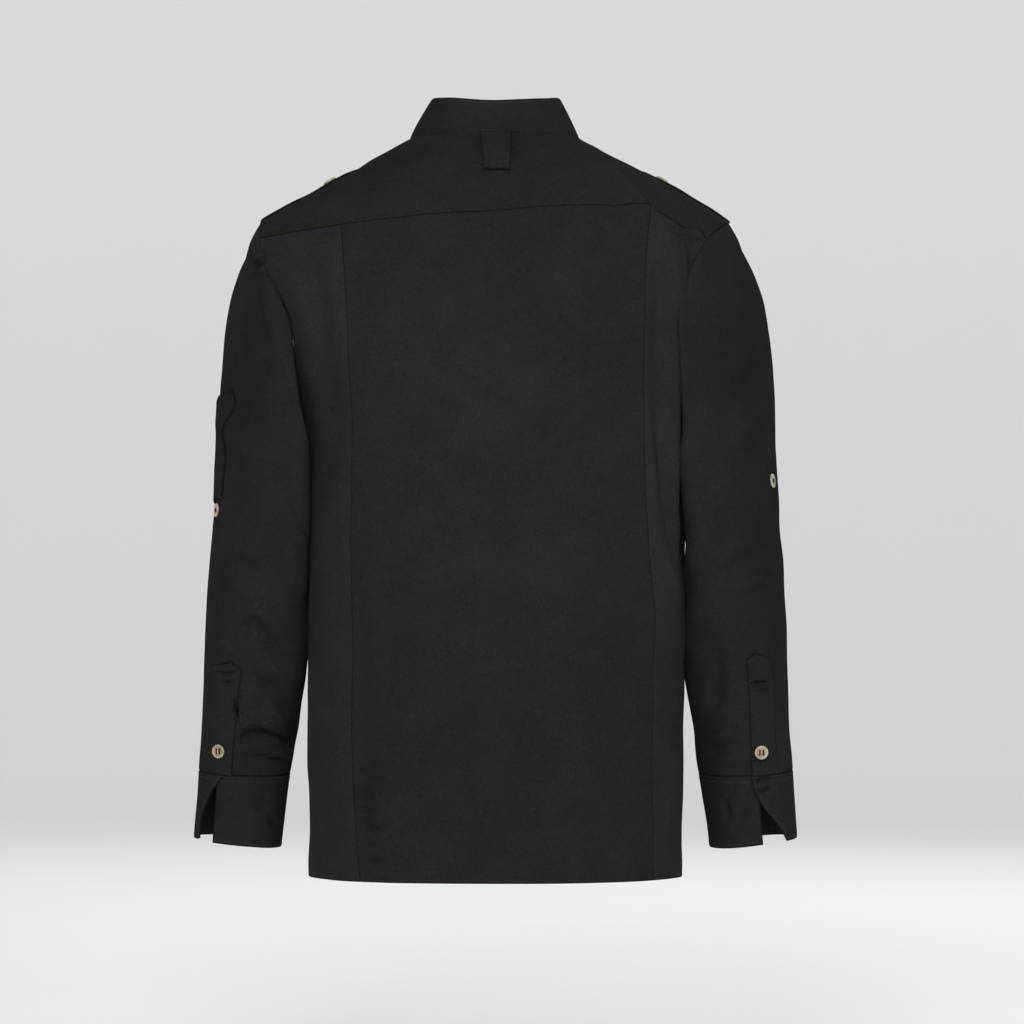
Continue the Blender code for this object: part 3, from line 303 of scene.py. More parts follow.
# The turned face, as shares of the radius and the height, from the foot's rim to the dish
BUTTON_PROFILE = (
    (0.62, 0.00), (0.80, 0.04), (0.93, 0.20), (0.99, 0.42), (1.00, 0.58), (0.985, 0.76),
    (0.94, 0.93), (0.88, 1.00), (0.81, 0.985), (0.74, 0.90), (0.68, 0.80), (0.60, 0.74),
)
BUTTON_DISH_SHADE = (0.60, 0.86)  # shares of the radius between which the dish turns into the rim, and over which the dish's painted shade fades out
HOLE_RADIUS, HOLE_PLACE, HOLE_SIDES = 0.00112, 0.00190, 12
THREAD_RADIUS, THREAD_SIDES = 0.00042, 8
THREAD_SPREAD = 1.5  # how many times wider than high it lies
# The thread's arch from hole to hole, as a share of their place and a height over the dish
THREAD_ARCH = (
    (-1, -0.0009), (-1, 0.0), (-0.6, 0.0004), (0, 0.0005), (0.6, 0.0004), (1, 0.0), (1, -0.0009),
)
BUTTONHOLE_REACH, BUTTONHOLE_RISE = 0.0100, 0.0007  # of a buttonhole's two bars from its middle
BUTTONHOLE_POINTS = 9

# Room, with the radius of the cove between its floor and its wall
ROOM_FLOOR, ROOM_TOP = -1.0, 6.0
ROOM_RADIUS, ROOM_COVE = 7.0, 1.6
ROOM_DISC_RADIUS, ROOM_SIDES, ROOM_COVE_STEPS = 0.3, 64, 16
ROOM_COLOUR, ROOM_GLOW = (0.72, 0.72, 0.72), 0.25
WORLD_COLOUR, WORLD_STRENGTH = (0.98, 0.98, 1.0, 1), 0.30

# Creases that run over the cloth as lines of (x, z), all in millimetres, by the piece that they
# lie on and its face (1 back, -1 front, 0 both and the side). A fade is the length of a soft end.
LINE_COLUMNS = ("height", "half_width", "fade", "line")
CREASE_LINES = {
    ("trunk", 1): (
        (3, 3.6, 30, ((-92, -8), (-124, -44), (-160, -80), (-187.5, -108), (-191.5, -140),
         (-187, -195), (-186, -257), (-183, -323), (-183, -374), (-186, -430))),
        (3.5, 3.2, 30, ((-151.4, -277.6), (-158.5, -357.9), (-165.5, -402), (-172.5, -435.1),
         (-180.5, -464.2), (-185.5, -482.3))),
        (-3.5, 5.5, 20, ((185.6, -621.7), (182.6, -635.8), (178.6, -661.9), (175.6, -677.9))),
        (3.5, 5, 20, ((-186.5, -628.8), (-180.5, -664.9), (-176.5, -696), (-174.5, -720),
         (-173.5, -735.1))),
        (-3, 3.5, 12, ((-166, -744), (-172, -750), (-180, -756))),
        (-2.4, 12, 25, ((-99.3, -102.1), (-145.4, -137.2))),
        (-4.5, 3.6, 10, ((144, -672), (129, -676), (112, -674))),
        (-3.5, 3, 8, ((143, -690), (130, -693), (118, -692))),
        (-4.5, 3.6, 10, ((142, -705), (124, -709), (106, -706))),
        (-3.5, 3, 8, ((140, -722), (126, -725), (114, -724))),
        (-4.5, 3.6, 10, ((138.5, -737), (122, -741), (105, -739))),
        (3, 3, 8, ((-170, -103.5), (-178, -118))),
        (3, 3, 8, ((-176, -103), (-185, -113))),
        (-1.6, 20, 80, ((60, -150), (20, -330), (45, -560))),
        (3.8, 20, 80, ((-74, -150), (-90, -400), (-84, -660))),
        (1.6, 16, 60, ((112, -190), (104, -340), (118, -500))),
        (-4, 12, 60, ((138, -480), (136, -600), (133, -740))),
        (-6, 4.8, 12, ((-182.6, -101.1), (-194.8, -115.3), (-198.8, -133.5), (-196.5, -150.6))),
        (-5.1, 2, 6, ((-188, -101), (-200, -103), (-214, -107.5))),
        (4.2, 2, 6, ((-189, -105), (-214, -110.8))),
        (-4.8, 2, 6, ((-190, -108.8), (-213, -114))),
    ),
    ("trunk", -1): (
        (-4.2, 9, 35, ((170, -215), (120, -245), (60, -262))),
        (3.5, 8, 35, ((176, -240), (130, -278), (75, -305))),
        (-3.8, 9, 35, ((-172, -220), (-128, -250), (-82, -262))),
        (3.4, 8, 30, ((-178, -250), (-140, -285), (-92, -300))),
        (-3.4, 6, 20, ((-28, -185), (10, -192), (48, -188))),
        (-3.4, 6, 20, ((-28, -345), (14, -352), (60, -362))),
        (2.9, 6, 25, ((-26, -425), (20, -438), (76, -452))),
        (-3.4, 7, 30, ((-28, -505), (30, -520), (98, -528))),
        (-3, 7, 30, ((-66, -430), (-110, -452), (-160, -462))),
        (3, 8, 30, ((-68, -520), (-112, -530), (-158, -552))),
        (-2.2, 14, 70, ((135, -360), (128, -500), (140, -690))),
        (2.2, 15, 70, ((-125, -390), (-134, -540), (-122, -700))),
        (1.9, 12, 40, ((70, -560), (84, -650), (80, -735))),
    ),
    ("sleeve_left", 1): (
        (-8.5, 4.2, 14, ((264.9, -630.2), (254.7, -620), (236.4, -615.9), (220.1, -622),
         (207.9, -634.2))),
        (-5, 7.5, 20, ((271, -518.2), (246.6, -504), (220.2, -538.6), (201.8, -552.8))),
        (5.8, 7, 20, ((270, -501), (246, -489), (223, -509))),
        (-5.8, 6, 16, ((248.6, -577.2), (224.2, -589.4))),
        (5.3, 5, 16, ((268, -615), (252, -604.5), (232, -608.5), (212, -628))),
        (-7.1, 3.6, 12, ((266.2, -638.5), (240, -642), (211.8, -650))),
        (-6.1, 7, 20, ((240, -560), (220, -580), (206, -606))),
        (5.5, 6, 20, ((252, -570), (230, -588), (212, -612))),
        (-4.9, 2, 6, ((282, -548), (267, -544))),
        (-4.9, 2, 6, ((283, -557), (266, -554))),
        (-4.2, 2, 6, ((282, -566), (268, -564))),
        (-7.1, 1.4, 8, ((267.5, -578), (265, -607))),
        (-8.5, 4.8, 12, ((250, -136), (240, -140.5), (225, -148.5))),
        (5.2, 4.8, 12, ((248, -128), (240, -131), (229, -139))),
        (-6.7, 10, 40, ((290, -250), (250, -310))),
        (6.1, 10, 40, ((288, -285), (242, -345))),
        (-6.1, 8, 30, ((285, -435), (230, -455))),
        (5.5, 8, 30, ((285, -460), (225, -480))),
    ),
    ("sleeve_right", 1): (
        (-6.5, 5.5, 18, ((-242, -632), (-212, -642))),
        (7.1, 5, 18, ((-252, -618), (-216, -626))),
        (-6.7, 7, 25, ((-235, -570), (-215, -600))),
        (-6.1, 2, 6, ((-260, -565.5), (-279, -564))),
        (4.3, 2, 6, ((-260, -570), (-279, -569))),
        (-7.1, 10, 40, ((-278, -230), (-230, -290))),
        (6.1, 9, 40, ((-280, -270), (-230, -330))),
        (-6.1, 8, 30, ((-285, -425), (-230, -450))),
        (5.5, 8, 30, ((-285, -452), (-225, -475))),
        (-4.3, 2.2, 6, ((-260, -648), (-280, -643))),
        (-6.5, 9, 30, ((-225.5, -526), (-227.5, -560), (-223, -590))),
        (-6.5, 5, 14, ((-250, -614), (-233, -621))),
    ),
    ("cuff_right", 1): (
        (-4.3, 2.2, 6, ((-260, -660), (-282, -653))),
        (-4.3, 2.2, 6, ((-262, -668), (-285, -663))),
        (-3.9, 2.2, 6, ((-264, -679), (-286, -674))),
        (-3.8, 4, 10, ((-236, -685), (-240, -708))),
        (-4.3, 4.5, 10, ((-250, -710), (-264, -696))),
    ),
    ("cuff_left", 1): (
        (-4.3, 3.5, 10, ((232, -705), (222, -722))),
        (-3.9, 6, 15, ((248, -690), (230, -698))),
    ),
    ("trunk", 0): (
        (3.4, 25, 30, ((-195, -385), (-192, -545))),
    ),
}

FADE_LEAD = 0.3  # share of its fade by which a crease begins before its line does
FACING_FADE = (0.0, 0.35)  # over which a crease of one face fades in, as y of the normal

# Swell of worn cloth: height, size of a hollow across and along, seed
SWELLS = ((0.0026, 0.048, 0.105, 3), (0.0011, 0.021, 0.034, 7))
SWELL_SHIFT = 100
LATTICE_SIZE = 32

# Edges: height and reach of the roll of every edge, and of the dip where one is sewn
UNDER, PRESSED, OVER = -1, 0, 1  # sewn beneath its neighbour, level with it, or over it
EDGE_ROLL = (-0.0003, 0.0006)
SEAM_DIPS = {UNDER: (-0.0009, 0.0016), PRESSED: (-0.0007, 0.0011)}
DOUBLED_HEIGHT, DOUBLED_END = 0.0005, (0.0050, 0.0085)  # of the doubled cloth of an upper edge

# Stitches: pitch, length and radius, then the distance of each row from its edge
STITCH = (0.0029, 0.0021, 0.00026)
BAR_STITCH = (0.0011, 0.0017, 0.00032)  # of a buttonhole
HEM_ROW, ARMHOLE_ROW = HEM_WIDTH - 0.002, 0.0055
YOKE_ROW, CLOSING_ROW = 0.0020, 0.0030
PATCH_ROWS = {
    "collar_cloth": ("stitches_collar", (("foot", 0.0022), ("top", 0.0030))),
    "loop_tape": ("stitches_collar", (("foot", 0.0012),)),
    "epaulette_cloth": (
        "stitches_epaulettes", (("top", 0.0030), ("left", 0.0030), ("right", 0.0030)),
    ),
    "placket_cloth": (
        "stitches_plackets", (("foot", 0.0020), ("left", 0.0020), ("right", 0.0020)),
    ),
    "cuff_cloth": (
        "stitches_cuffs", (("foot", 0.0015), ("foot", 0.0060), ("top", 0.0035), ("right", 0.0035)),
    ),
    "pocket_cloth": (
        "stitches_pocket",
        (("foot", 0.0120), ("top", 0.0016), ("left", 0.0016), ("right", 0.0016)),
    ),
}
PALE_STITCHES = ("stitches_cuffs", "stitches_collar")
# A stitch's corners: share of its length, then aside and outwards in radii
STITCH_SHAPE = np.array([
    (0.00, 0.0, -0.9), (0.22, 0.9, 0.1), (0.22, 0.0, 0.9), (0.22, -0.9, 0.1), (0.22, 0.0, -0.8),
    (0.78, 0.9, 0.1), (0.78, 0.0, 0.9), (0.78, -0.9, 0.1), (0.78, 0.0, -0.8), (1.00, 0.0, -0.9),
])
STITCH_FACES = np.array([
    (0, 1, 2), (0, 2, 3), (0, 3, 4), (0, 4, 1), (9, 6, 5), (9, 7, 6), (9, 8, 7), (9, 5, 8),
    (1, 5, 6), (1, 6, 2), (2, 6, 7), (2, 7, 3), (3, 7, 8), (3, 8, 4), (4, 8, 5), (4, 5, 1),
])

# Cloths: colour, weave as (waves across, waves up, weight), weight of the fibres' grain,
# roughness, sheen, contrast of the yarns
CLOTHS = {
    "black twill": ((0.0156, 0.0147, 0.0134), ((900, 520, 1.0), (-260, 900, 0.25)),
                    0.55, 0.88, 0.01, 1.0),
    "blue knit": ((0.0166, 0.0170, 0.0190), ((830, 0, 0.7), (0, 1100, 0.35)),
                  0.35, 0.85, 0.015, 0.7),
    "loop tape": ((0.0160, 0.0141, 0.0163), ((700, 700, 0.8), (-700, 700, 0.5)),
                  0.45, 0.80, 0.02, 1.0),
}
EDGE_SHADE_WIDTH = 0.0012  # of the darker line of painted shade along every edge
THREAD_COLOUR, PALE_THREAD_COLOUR = (0.0130, 0.0125, 0.0120), (0.0420, 0.0400, 0.0370)
HORN_COLOURS = ((0.05, (0.080, 0.056, 0.032)), (0.50, (0.290, 0.232, 0.150)),
                (0.90, (0.560, 0.490, 0.370)))

# Lights: place, size, power
LIGHTS = {
    "key": ((0.3, 3.1, 1.0), (1.0, 1.0), 66),
    "fill": ((-1.7, 3.3, 0.6), (1.8, 2.0), 20),
    "front": ((-0.6, -3.0, 1.4), (2.4, 2.4), 34),
    "top": ((0.0, 0.6, 2.4), (2.4, 2.4), 7),
}
LIGHTS_TARGET = (0, 0, -0.35)
CAMERA_PLACE, CAMERA_LENS = (-0.017, 5.0, -0.390), 170.66


# Forms


def smooth(at, knots, values):
    """Reads a smooth curve through the values at the knots, which rise; it runs straight outside."""
    knots = np.asarray(knots, float)
    values = np.asarray(values, float)
    steps = np.diff(knots)
    rises = np.diff(values) / steps
    slopes = np.concatenate(([rises[0]], np.zeros(len(steps) - 1), [rises[-1]]))
    slopes[1:-1] = (rises[:-1] * steps[1:] + rises[1:] * steps[:-1]) / (steps[:-1] + steps[1:])
    beyond = at - np.clip(at, knots[0], knots[-1])
    at = at - beyond
    i = np.clip(np.searchsorted(knots, at, side="right") - 1, 0, len(steps) - 1)
    f = (at - knots[i]) / steps[i]
    start = values[i] * (1 + 2 * f) * (1 - f) ** 2 + slopes[i] * steps[i] * f * (1 - f) ** 2
    end = values[i + 1] * f**2 * (3 - 2 * f) + slopes[i + 1] * steps[i] * f**2 * (f - 1)
    return start + end + beyond * np.where(beyond < 0, slopes[0], slopes[-1])


def table(columns, rows, at):
    """The columns after the first, each read at the place `at` of the first."""
    knots = [row[0] for row in rows]
    return {
        name: smooth(at, knots, [row[i] for row in rows])
        for i, name in enumerate(columns)
        if i
    }


def ramp(value, start, end):
    """0 at the start, 1 at the end, with soft ends."""
    f = np.clip((value - start) / (end - start), 0, 1)
    return f * f * (3 - 2 * f)


def paired(one, other):
    """Both as arrays of numbers of the same shape."""
    return np.broadcast_arrays(np.asarray(one, float), np.asarray(other, float))


def roundness(angle, squareness):
    """Radius of a squared circle of radius 1 in that direction."""
    across, up = np.abs(np.cos(angle)), np.abs(np.sin(angle))
    return (across**squareness + up**squareness) ** (-1 / squareness)


def unit(vectors):
    return vectors / np.linalg.norm(vectors, axis=-1, keepdims=True)


def normals(form, u, v):
    """Normals of form(u, v), on the side where u, v and the normal are right-handed."""
    across = form(u + STEP, v) - form(u - STEP, v)
    up = form(u, v + STEP) - form(u, v - STEP)
    return unit(np.cross(across, up))


def ring_at(level):
    """The trunk's ring at that level, by the names of its columns."""
    return table(RING_COLUMNS, BODY_RINGS, level)


def body(angle, level):
    """The trunk's form with no folds."""
    angle, level = paired(angle, level)
    ring = ring_at(level)
    radius = roundness(angle, ring["squareness"])
    back = np.sin(angle) > 0
    depth = np.where(back, ring["back_y"], -ring["front_y"])
    end_z = np.where(back, ring["back_z"], ring["front_z"])
    x = ring["half_width"] * np.cos(angle) * radius
    y = depth * np.sin(angle) * radius
    z = ring["side_z"] + (end_z - ring["side_z"]) * np.sin(angle) ** 2
    return np.stack([x, y, z], axis=-1)


def fold_height(points):
    """How far the folds of the back lift these points of the trunk."""
    x, y, z = np.moveaxis(points, -1, 0)
    total = np.zeros_like(x)
    for row in BACK_FOLDS.values():
        fold = dict(zip(FOLD_COLUMNS, row))
        zs, xs = zip(*fold["line"][::-1])
        outwards = (x - smooth(z, zs, xs)) * np.sign(xs[0])
        reach = np.where(outwards > 0, fold["outer_reach"], fold["inner_reach"])
        top, foot = fold["top_fade"] / 2, fold["foot_fade"] / 2
        along = ramp(z, zs[0] - foot, zs[0] + foot) * ramp(-z, -zs[-1] - top, -zs[-1] + top)
        total += fold["height"] * along * np.exp(-((outwards / reach) ** 2))
    return total * ramp(y, *FOLDED_DEPTH)


def trunk(angle, level):
    """The trunk's outer surface, folds included."""
    base = body(angle, level)
    return base + normals(body, angle, level) * fold_height(base)[..., None]


def angle_at_x(x, level, front=False):
    """Angle at which a ring of the trunk reaches x, at its back or its front."""
    ring = ring_at(level)
    share = np.clip(np.abs(x) / ring["half_width"], 1e-6, 1) ** ring["squareness"]
    angle = np.arctan(((1 - share) / share) ** (1 / ring["squareness"]))
    angle = np.where(np.asarray(x) < 0, pi - angle, angle)
    return -angle if front else angle


def angle_at_y(y, level):
    """Angle at the wearer's left side at which a ring of the trunk reaches y."""
    ring = ring_at(level)
    depth = np.where(np.asarray(y) > 0, ring["back_y"], -ring["front_y"])
    share = (np.abs(y) / depth) ** ring["squareness"]
    return np.sign(y) * np.arctan((share / (1 - share)) ** (1 / ring["squareness"]))


def level_at_z(z, angle):
    """Level at which the trunk reaches the height z, at that angle."""
    low = np.full(np.shape(z), HEM_LEVEL)
    high = np.full(np.shape(z), NECK_LEVEL)
    for _ in range(HALVINGS):
        middle = (low + high) / 2
        below = body(angle, middle)[..., 2] < z
        low, high = np.where(below, middle, low), np.where(below, high, middle)
    return (low + high) / 2


def on_side(side, angle):
    """An angle counted from the side of this arm, turned into the trunk's angle."""
    return angle if side == "left" else pi - angle


def armhole(side, turn):
    """(angle, level) of the armhole's edge."""
    turn = np.asarray(turn, float)
    edge = []
    for half in ("back", "front"):
        hole = dict(zip(ARMHOLE_COLUMNS, ARMHOLES[side, half]))
        centre = hole["centre_level"]
        below = np.cos(turn) > 0
        squareness = np.where(below, hole["under_squareness"], hole["top_squareness"])
        radius = roundness(turn, squareness)
        rise = -np.cos(turn) * radius
        size = np.where(rise < 0, centre - UNDERARM_LEVEL, TIP_LEVEL - centre)
        edge.append((hole["half_angle"] * np.sin(turn) * radius, centre + size * rise))
    back = np.sin(turn) > 0
    angle = np.where(back, edge[0][0], edge[1][0])
    return np.stack([on_side(side, angle), np.where(back, edge[0][1], edge[1][1])], axis=-1)


def collar(angle, height):
    """The collar's outer surface; height runs from 0 at its seam to 1 at its top edge."""
    angle, height = paired(angle, height)
    foot = body(angle, np.full(angle.shape, NECK_LEVEL))
    foot[..., 2] += COLLAR_GAP
    back = np.sin(angle) > 0
    radius = roundness(angle, BODY_RINGS[-1][-1])
    depth = np.where(back, COLLAR_TOP["back_y"], -COLLAR_TOP["front_y"])
    end_z = np.where(back, COLLAR_TOP["back_z"], COLLAR_TOP["front_z"])
    top = np.stack([
        COLLAR_TOP["half_width"] * np.cos(angle) * radius,
        depth * np.sin(angle) * radius,
        COLLAR_TOP["side_z"] + (end_z - COLLAR_TOP["side_z"]) * np.sin(angle) ** 2,
    ], axis=-1)
    points = foot + (top - foot) * height[..., None]
    outwards = np.stack([np.cos(angle), np.sin(angle), np.zeros_like(angle)], axis=-1)
    return points + outwards * (COLLAR_BOW * 4 * height * (1 - height))[..., None]


def section(ring, turn, tilt):
    """A ring of the wearer's left arm at these turns."""
    radius = roundness(turn, ring["squareness"])
    inner = np.stack([ring["inner_x"], ring["inner_z"]], axis=-1)
    outer = np.stack([ring["outer_x"], ring["outer_z"]], axis=-1)
    middle, half = (inner + outer) / 2, (outer - inner) / 2
    xz = middle - half * (np.cos(turn) * radius)[..., None]
    depth = ring["half_depth"] * np.sin(turn) * radius
    x = xz[..., 0] - ring["lean"] * depth
    return np.stack([x, ring["centre_y"] + depth, xz[..., 1] - tilt * depth], axis=-1)


def mirrored(side, points):
    """Points of the wearer's left, moved to this side."""
    return points * np.array([SIDES[side], 1, 1])


def crease_height(side, along, turn):
    """How far the creases of a sleeve's own places lift it."""
    total = np.zeros_like(along)
    for row in SLEEVE_CREASES[side]:
        crease = dict(zip(CREASE_COLUMNS, np.multiply(row, CREASE_UNITS)))
        round_by = (turn - crease["turn"] + pi) % (2 * pi) - pi
        off = (along - crease["along"] - crease["slant"] * round_by) / crease["reach"]
        total += crease["height"] * np.exp(-(off**2) - (round_by / crease["turn_reach"]) ** 2)
    return total


def sleeve_form(side):
    """The sleeve's outer surface with no creases, as a function of (along, turn)."""

    def form(along, turn):
        along, turn = paired(along, turn)
        tilt = SLEEVE_TILT * ramp(along, SLEEVE_LENGTH / 2, SLEEVE_LENGTH)
        points, start, end = (
            mirrored(side, section(table(SLEEVE_COLUMNS, SLEEVE_RINGS, place), turn, leant))
            for place, leant in (
                (along, tilt), (np.zeros_like(along), 0.0), (np.full(along.shape, DRAWN_LENGTH), 0.0),
            )
        )
        edge = armhole(side, turn)
        seam = trunk(edge[..., 0], edge[..., 1])
        points += (seam - start) * (1 - ramp(along, 0, SEAM_BLEND))[..., None]
        off_underarm = np.abs((turn + pi) % (2 * pi) - pi)
        taut = ramp(off_underarm, *DRAWN_TURNS[:2]) * (1 - ramp(off_underarm, *DRAWN_TURNS[2:]))
        taut *= 1 - ramp(along, DRAWN_LENGTH * DRAWN_FADE, DRAWN_LENGTH)
        share = np.minimum(along / DRAWN_LENGTH, 1)
        straight = seam + (end - seam) * share[..., None]
        straight[..., 1] += DRAWN_BOW * np.sin(turn) * np.sqrt(share.clip(0)) * (1 - share)
        return points + (straight - points) * taut[..., None]

    return form


def sleeve(side):
    """The sleeve's outer surface with its creases."""
    plain = sleeve_form(side)

    def form(along, turn):
        along, turn = paired(along, turn)
        out = normals(plain, along, turn) * -SIDES[side]
        return plain(along, turn) + out * crease_height(side, along, turn)[..., None]

    return form


def cuff(side):
    """The cuff's outer surface as a function of (share of its height, turn)."""
    last = dict(zip(SLEEVE_COLUMNS, SLEEVE_RINGS[-1]))

    def form(share, turn):
        share, turn = paired(share, turn)
        ring = {key: last[key] + (CUFF_END[key] - last[key]) * share for key in CUFF_END}
        ring["lean"] = np.zeros_like(share)
        ring["squareness"] = last["squareness"]
        points = mirrored(side, section(ring, turn, SLEEVE_TILT))
        points[..., 2] -= SEAM_GAP
        return points

    return form


# Creases and swell over a form


def lattice(points, seed):
    """Smooth noise from -1 to 1 with hollows one unit wide."""
    values = np.random.default_rng(seed).uniform(-1, 1, (LATTICE_SIZE,) * 3)
    cell = np.floor(points).astype(int)
    f = points - cell
    f = f * f * (3 - 2 * f)
    total = np.zeros(points.shape[:-1])
    for corner in np.ndindex(2, 2, 2):
        weight = np.where(corner, f, 1 - f).prod(axis=-1)
        total += weight * values[tuple(np.moveaxis((cell + corner) % LATTICE_SIZE, -1, 0))]
    return total


def line_height(x, z, row):
    """Height of one crease line at these places."""
    crease = {name: np.multiply(value, MM) for name, value in zip(LINE_COLUMNS, row)}
    line = crease["line"]
    steps = np.linalg.norm(np.diff(line, axis=0), axis=1)
    gone = np.concatenate([[0], np.cumsum(steps)])
    nearest = np.full(x.shape, np.inf)
    run = np.zeros(x.shape)
    for start, end, length, before in zip(line, line[1:], steps, gone):
        way = (end - start) / length
        along = np.clip((x - start[0]) * way[0] + (z - start[1]) * way[1], 0, length)
        off = np.hypot(x - start[0] - way[0] * along, z - start[1] - way[1] * along)
        run = np.where(off < nearest, before + along, run)
        nearest = np.minimum(off, nearest)
    fade = np.multiply((-FADE_LEAD, 1), crease["fade"])
    ends = ramp(run, *fade) * ramp(gone[-1] - run, *fade)
    return crease["height"] * ends * np.exp(-((nearest / crease["half_width"]) ** 2))


def relief(piece, points, out):
    """How far creases and swell lift these points of a piece."""
    x, _, z = np.moveaxis(points, -1, 0)
    total = np.zeros(x.shape)
    for (creased, face), rows in CREASE_LINES.items():
        if creased == piece:
            shown = ramp(out[..., 1] * face, *FACING_FADE) if face else 1.0
            total += shown * sum(line_height(x, z, row) for row in rows)
    for height, across, along, seed in SWELLS:
        total += height * lattice(points / (across, across, along) + SWELL_SHIFT, seed)
    return total


def skin(form, turned, piece):
    """A form with its creases and swell, as a function that gives points and normals."""

    def read(u, v, lift=0.0):
        points = form(u, v)
        out = normals(form, u, v) * turned
        height = relief(piece, points, out) + lift
        return points + out * height[..., None], out

    return read


TRUNK_SKIN = skin(trunk, 1, "trunk")
SLEEVE_SKINS = {side: skin(sleeve(side), -SIDES[side], f"sleeve_{side}") for side in SIDES}
CUFF_SKINS = {side: skin(cuff(side), -SIDES[side], f"cuff_{side}") for side in SIDES}


# Grids


def between(grid, at):
    """Rows of a grid read at fractional places."""
    i = np.clip(np.asarray(at).astype(int), 0, len(grid) - 2)
    f = (at - i).reshape(-1, *[1] * (grid.ndim - 1))
    return grid[i] * (1 - f) + grid[i + 1] * f


def with_edge_lines(count, further=()):
    """Places 0 to count - 1 with the lines that crowd at both ends, and further ones."""
    last = count - 1
    crowded = (*EDGE_LINES, *(last - share for share in EDGE_LINES))
    return np.array(sorted({*range(count), *crowded, *further}), float)


def coons(foot, top, left, right):
    """Grid between four edges."""
    s = np.linspace(0, 1, len(foot))[None, :, None]
    t = np.linspace(0, 1, len(left))[:, None, None]
    across = (1 - t) * foot[None] + t * top[None]
    up = (1 - s) * left[:, None] + s * right[:, None]
    corners = (1 - t) * ((1 - s) * foot[0] + s * foot[-1]) + t * ((1 - s) * top[0] + s * top[-1])
    return across + up - corners


def evened(grid):
    """The grid with its inner points moved until its lines run evenly between the edges."""
    grid = grid * (ANGLE_SCALE, 1)
    for _ in range(EVENING_STEPS):
        across = (grid[1:-1, 2:] - grid[1:-1, :-2]) / 2
        up = (grid[2:, 1:-1] - grid[:-2, 1:-1]) / 2
        across_weight = (up**2).sum(axis=-1, keepdims=True)
        up_weight = (across**2).sum(axis=-1, keepdims=True)
        shear = (across * up).sum(axis=-1, keepdims=True)
        diagonal = grid[2:, 2:] - grid[2:, :-2] - grid[:-2, 2:] + grid[:-2, :-2]
        beside = across_weight * (grid[1:-1, 2:] + grid[1:-1, :-2])
        above = up_weight * (grid[2:, 1:-1] + grid[:-2, 1:-1])
        grid[1:-1, 1:-1] = (beside + above - shear * diagonal / 2) / (
            2 * (across_weight + up_weight)
        )
    return grid / (ANGLE_SCALE, 1)


def patch(foot, top, left, right):
    """Fine grid of (angle, level) between four fine edges: the evened coarse grid cut finer,
    with its border moved onto the edges."""
    coarse = evened(coons(
        foot[::FINE_COLUMNS], top[::FINE_COLUMNS], left[::FINE_ROWS], right[::FINE_ROWS]
    ))
    grid = between(coarse, np.arange(len(left)) / FINE_ROWS)
    grid = between(grid.swapaxes(0, 1), np.arange(len(foot)) / FINE_COLUMNS).swapaxes(0, 1)
    return grid + coons(foot - grid[0], top - grid[-1], left - grid[:, 0], right - grid[:, -1])


def line(start, end, pieces):
    """Straight in (angle, level)."""
    return np.linspace(start, end, pieces + 1)


def chain(*lines):
    """Lines that follow on, as one."""
    return np.concatenate([lines[0]] + [one[1:] for one in lines[1:]])


def yoke_seam(start_x, end_x, columns):
    """(angle, level) of the yoke's back seam between two places across the back."""
    x = np.linspace(start_x, end_x, columns + 1)
    xs, zs = zip(*YOKE_SEAM)
    z = smooth(x, xs, zs)
    level = np.full(x.shape, TIP_LEVEL)
    for _ in range(SEAM_ROUNDS):
        angle = angle_at_x(x, level)
        level = level_at_z(z, angle)
    return np.stack([angle, level], axis=-1)


def rows_to(level):
    """Levels from the hem up, crowding towards the top."""
    rows = TRUNK_ROWS * FINE_ROWS
    return level * (1 - (1 - np.linspace(0, 1, rows + 1)) ** ROW_CROWDING)


def back_seam(side, top_level):
    """(angle, level) from the hem up to the yoke."""
    zs, xs = zip(*BACK_SEAMS[side])
    level = rows_to(top_level)
    z = ring_at(level)["back_z"]
    return np.stack([angle_at_x(smooth(z, zs, xs), level), level], axis=-1)


def armhole_run(side, start, end, pieces):
    return armhole(side, np.linspace(start, end, pieces + 1))


def seam_corner(side):
    """(angle, level) where the back seam meets the yoke."""
    x = BACK_SEAMS[side][-1][1]
    return yoke_seam(x, x, 0)[0]


def side_yoke_seam(side):
    """The yoke's seam from the back seam out to the armhole."""
    start = BACK_SEAMS[side][-1][1]
    corner = armhole(side, YOKE_TURN)
    columns = SIDE_COLUMNS * FINE_COLUMNS
    seam = yoke_seam(start, trunk(*corner)[0], columns)
    share = np.linspace(0, 1, columns + 1)[:, None]
    return seam + share**2 * (corner - seam[-1])


def front_side_seam(side):
    """From the hem up to the armhole's front."""
    top = armhole(side, SIDE_SEAM_TURN)
    level = rows_to(top[1])
    hem_angle = on_side(side, FRONT_SEAM_ANGLE)
    angle = hem_angle + (top[0] - hem_angle) * (level / top[1]) ** 2
    return np.stack([angle, level], axis=-1)


def shoulder_seam(side):
    """From the armhole to the neck, a little forward of the shoulder's top."""
    neck = (on_side(side, SHOULDER_SEAM_NECK), NECK_LEVEL)
    return line(armhole(side, SHOULDER_SEAM_TURN), neck, SHOULDER_COLUMNS * FINE_COLUMNS)


def hem(start, end, columns):
    return line((start, HEM_LEVEL), (end, HEM_LEVEL), columns * FINE_COLUMNS)


# Sheets of cloth

STITCHES = {}  # rows of stitches by group, gathered as the pieces are made


def turned_to(edge, grid):
    """The grid with its rows running inwards from that edge."""
    return {
        "foot": grid,
        "top": grid[::-1],
        "left": grid.swapaxes(0, 1),
        "right": grid.swapaxes(0, 1)[::-1],
    }[edge]


def from_edge(edge, points):
    """Distance of each point from that edge, over the cloth."""
    rows = turned_to(edge, points)
    steps = np.linalg.norm(np.diff(rows, axis=0), axis=-1)
    away = np.concatenate([np.zeros((1, rows.shape[1])), np.cumsum(steps, axis=0)])
    if edge in ("top", "right"):
        away = away[::-1]
    return away if edge in ("foot", "top") else away.swapaxes(0, 1)


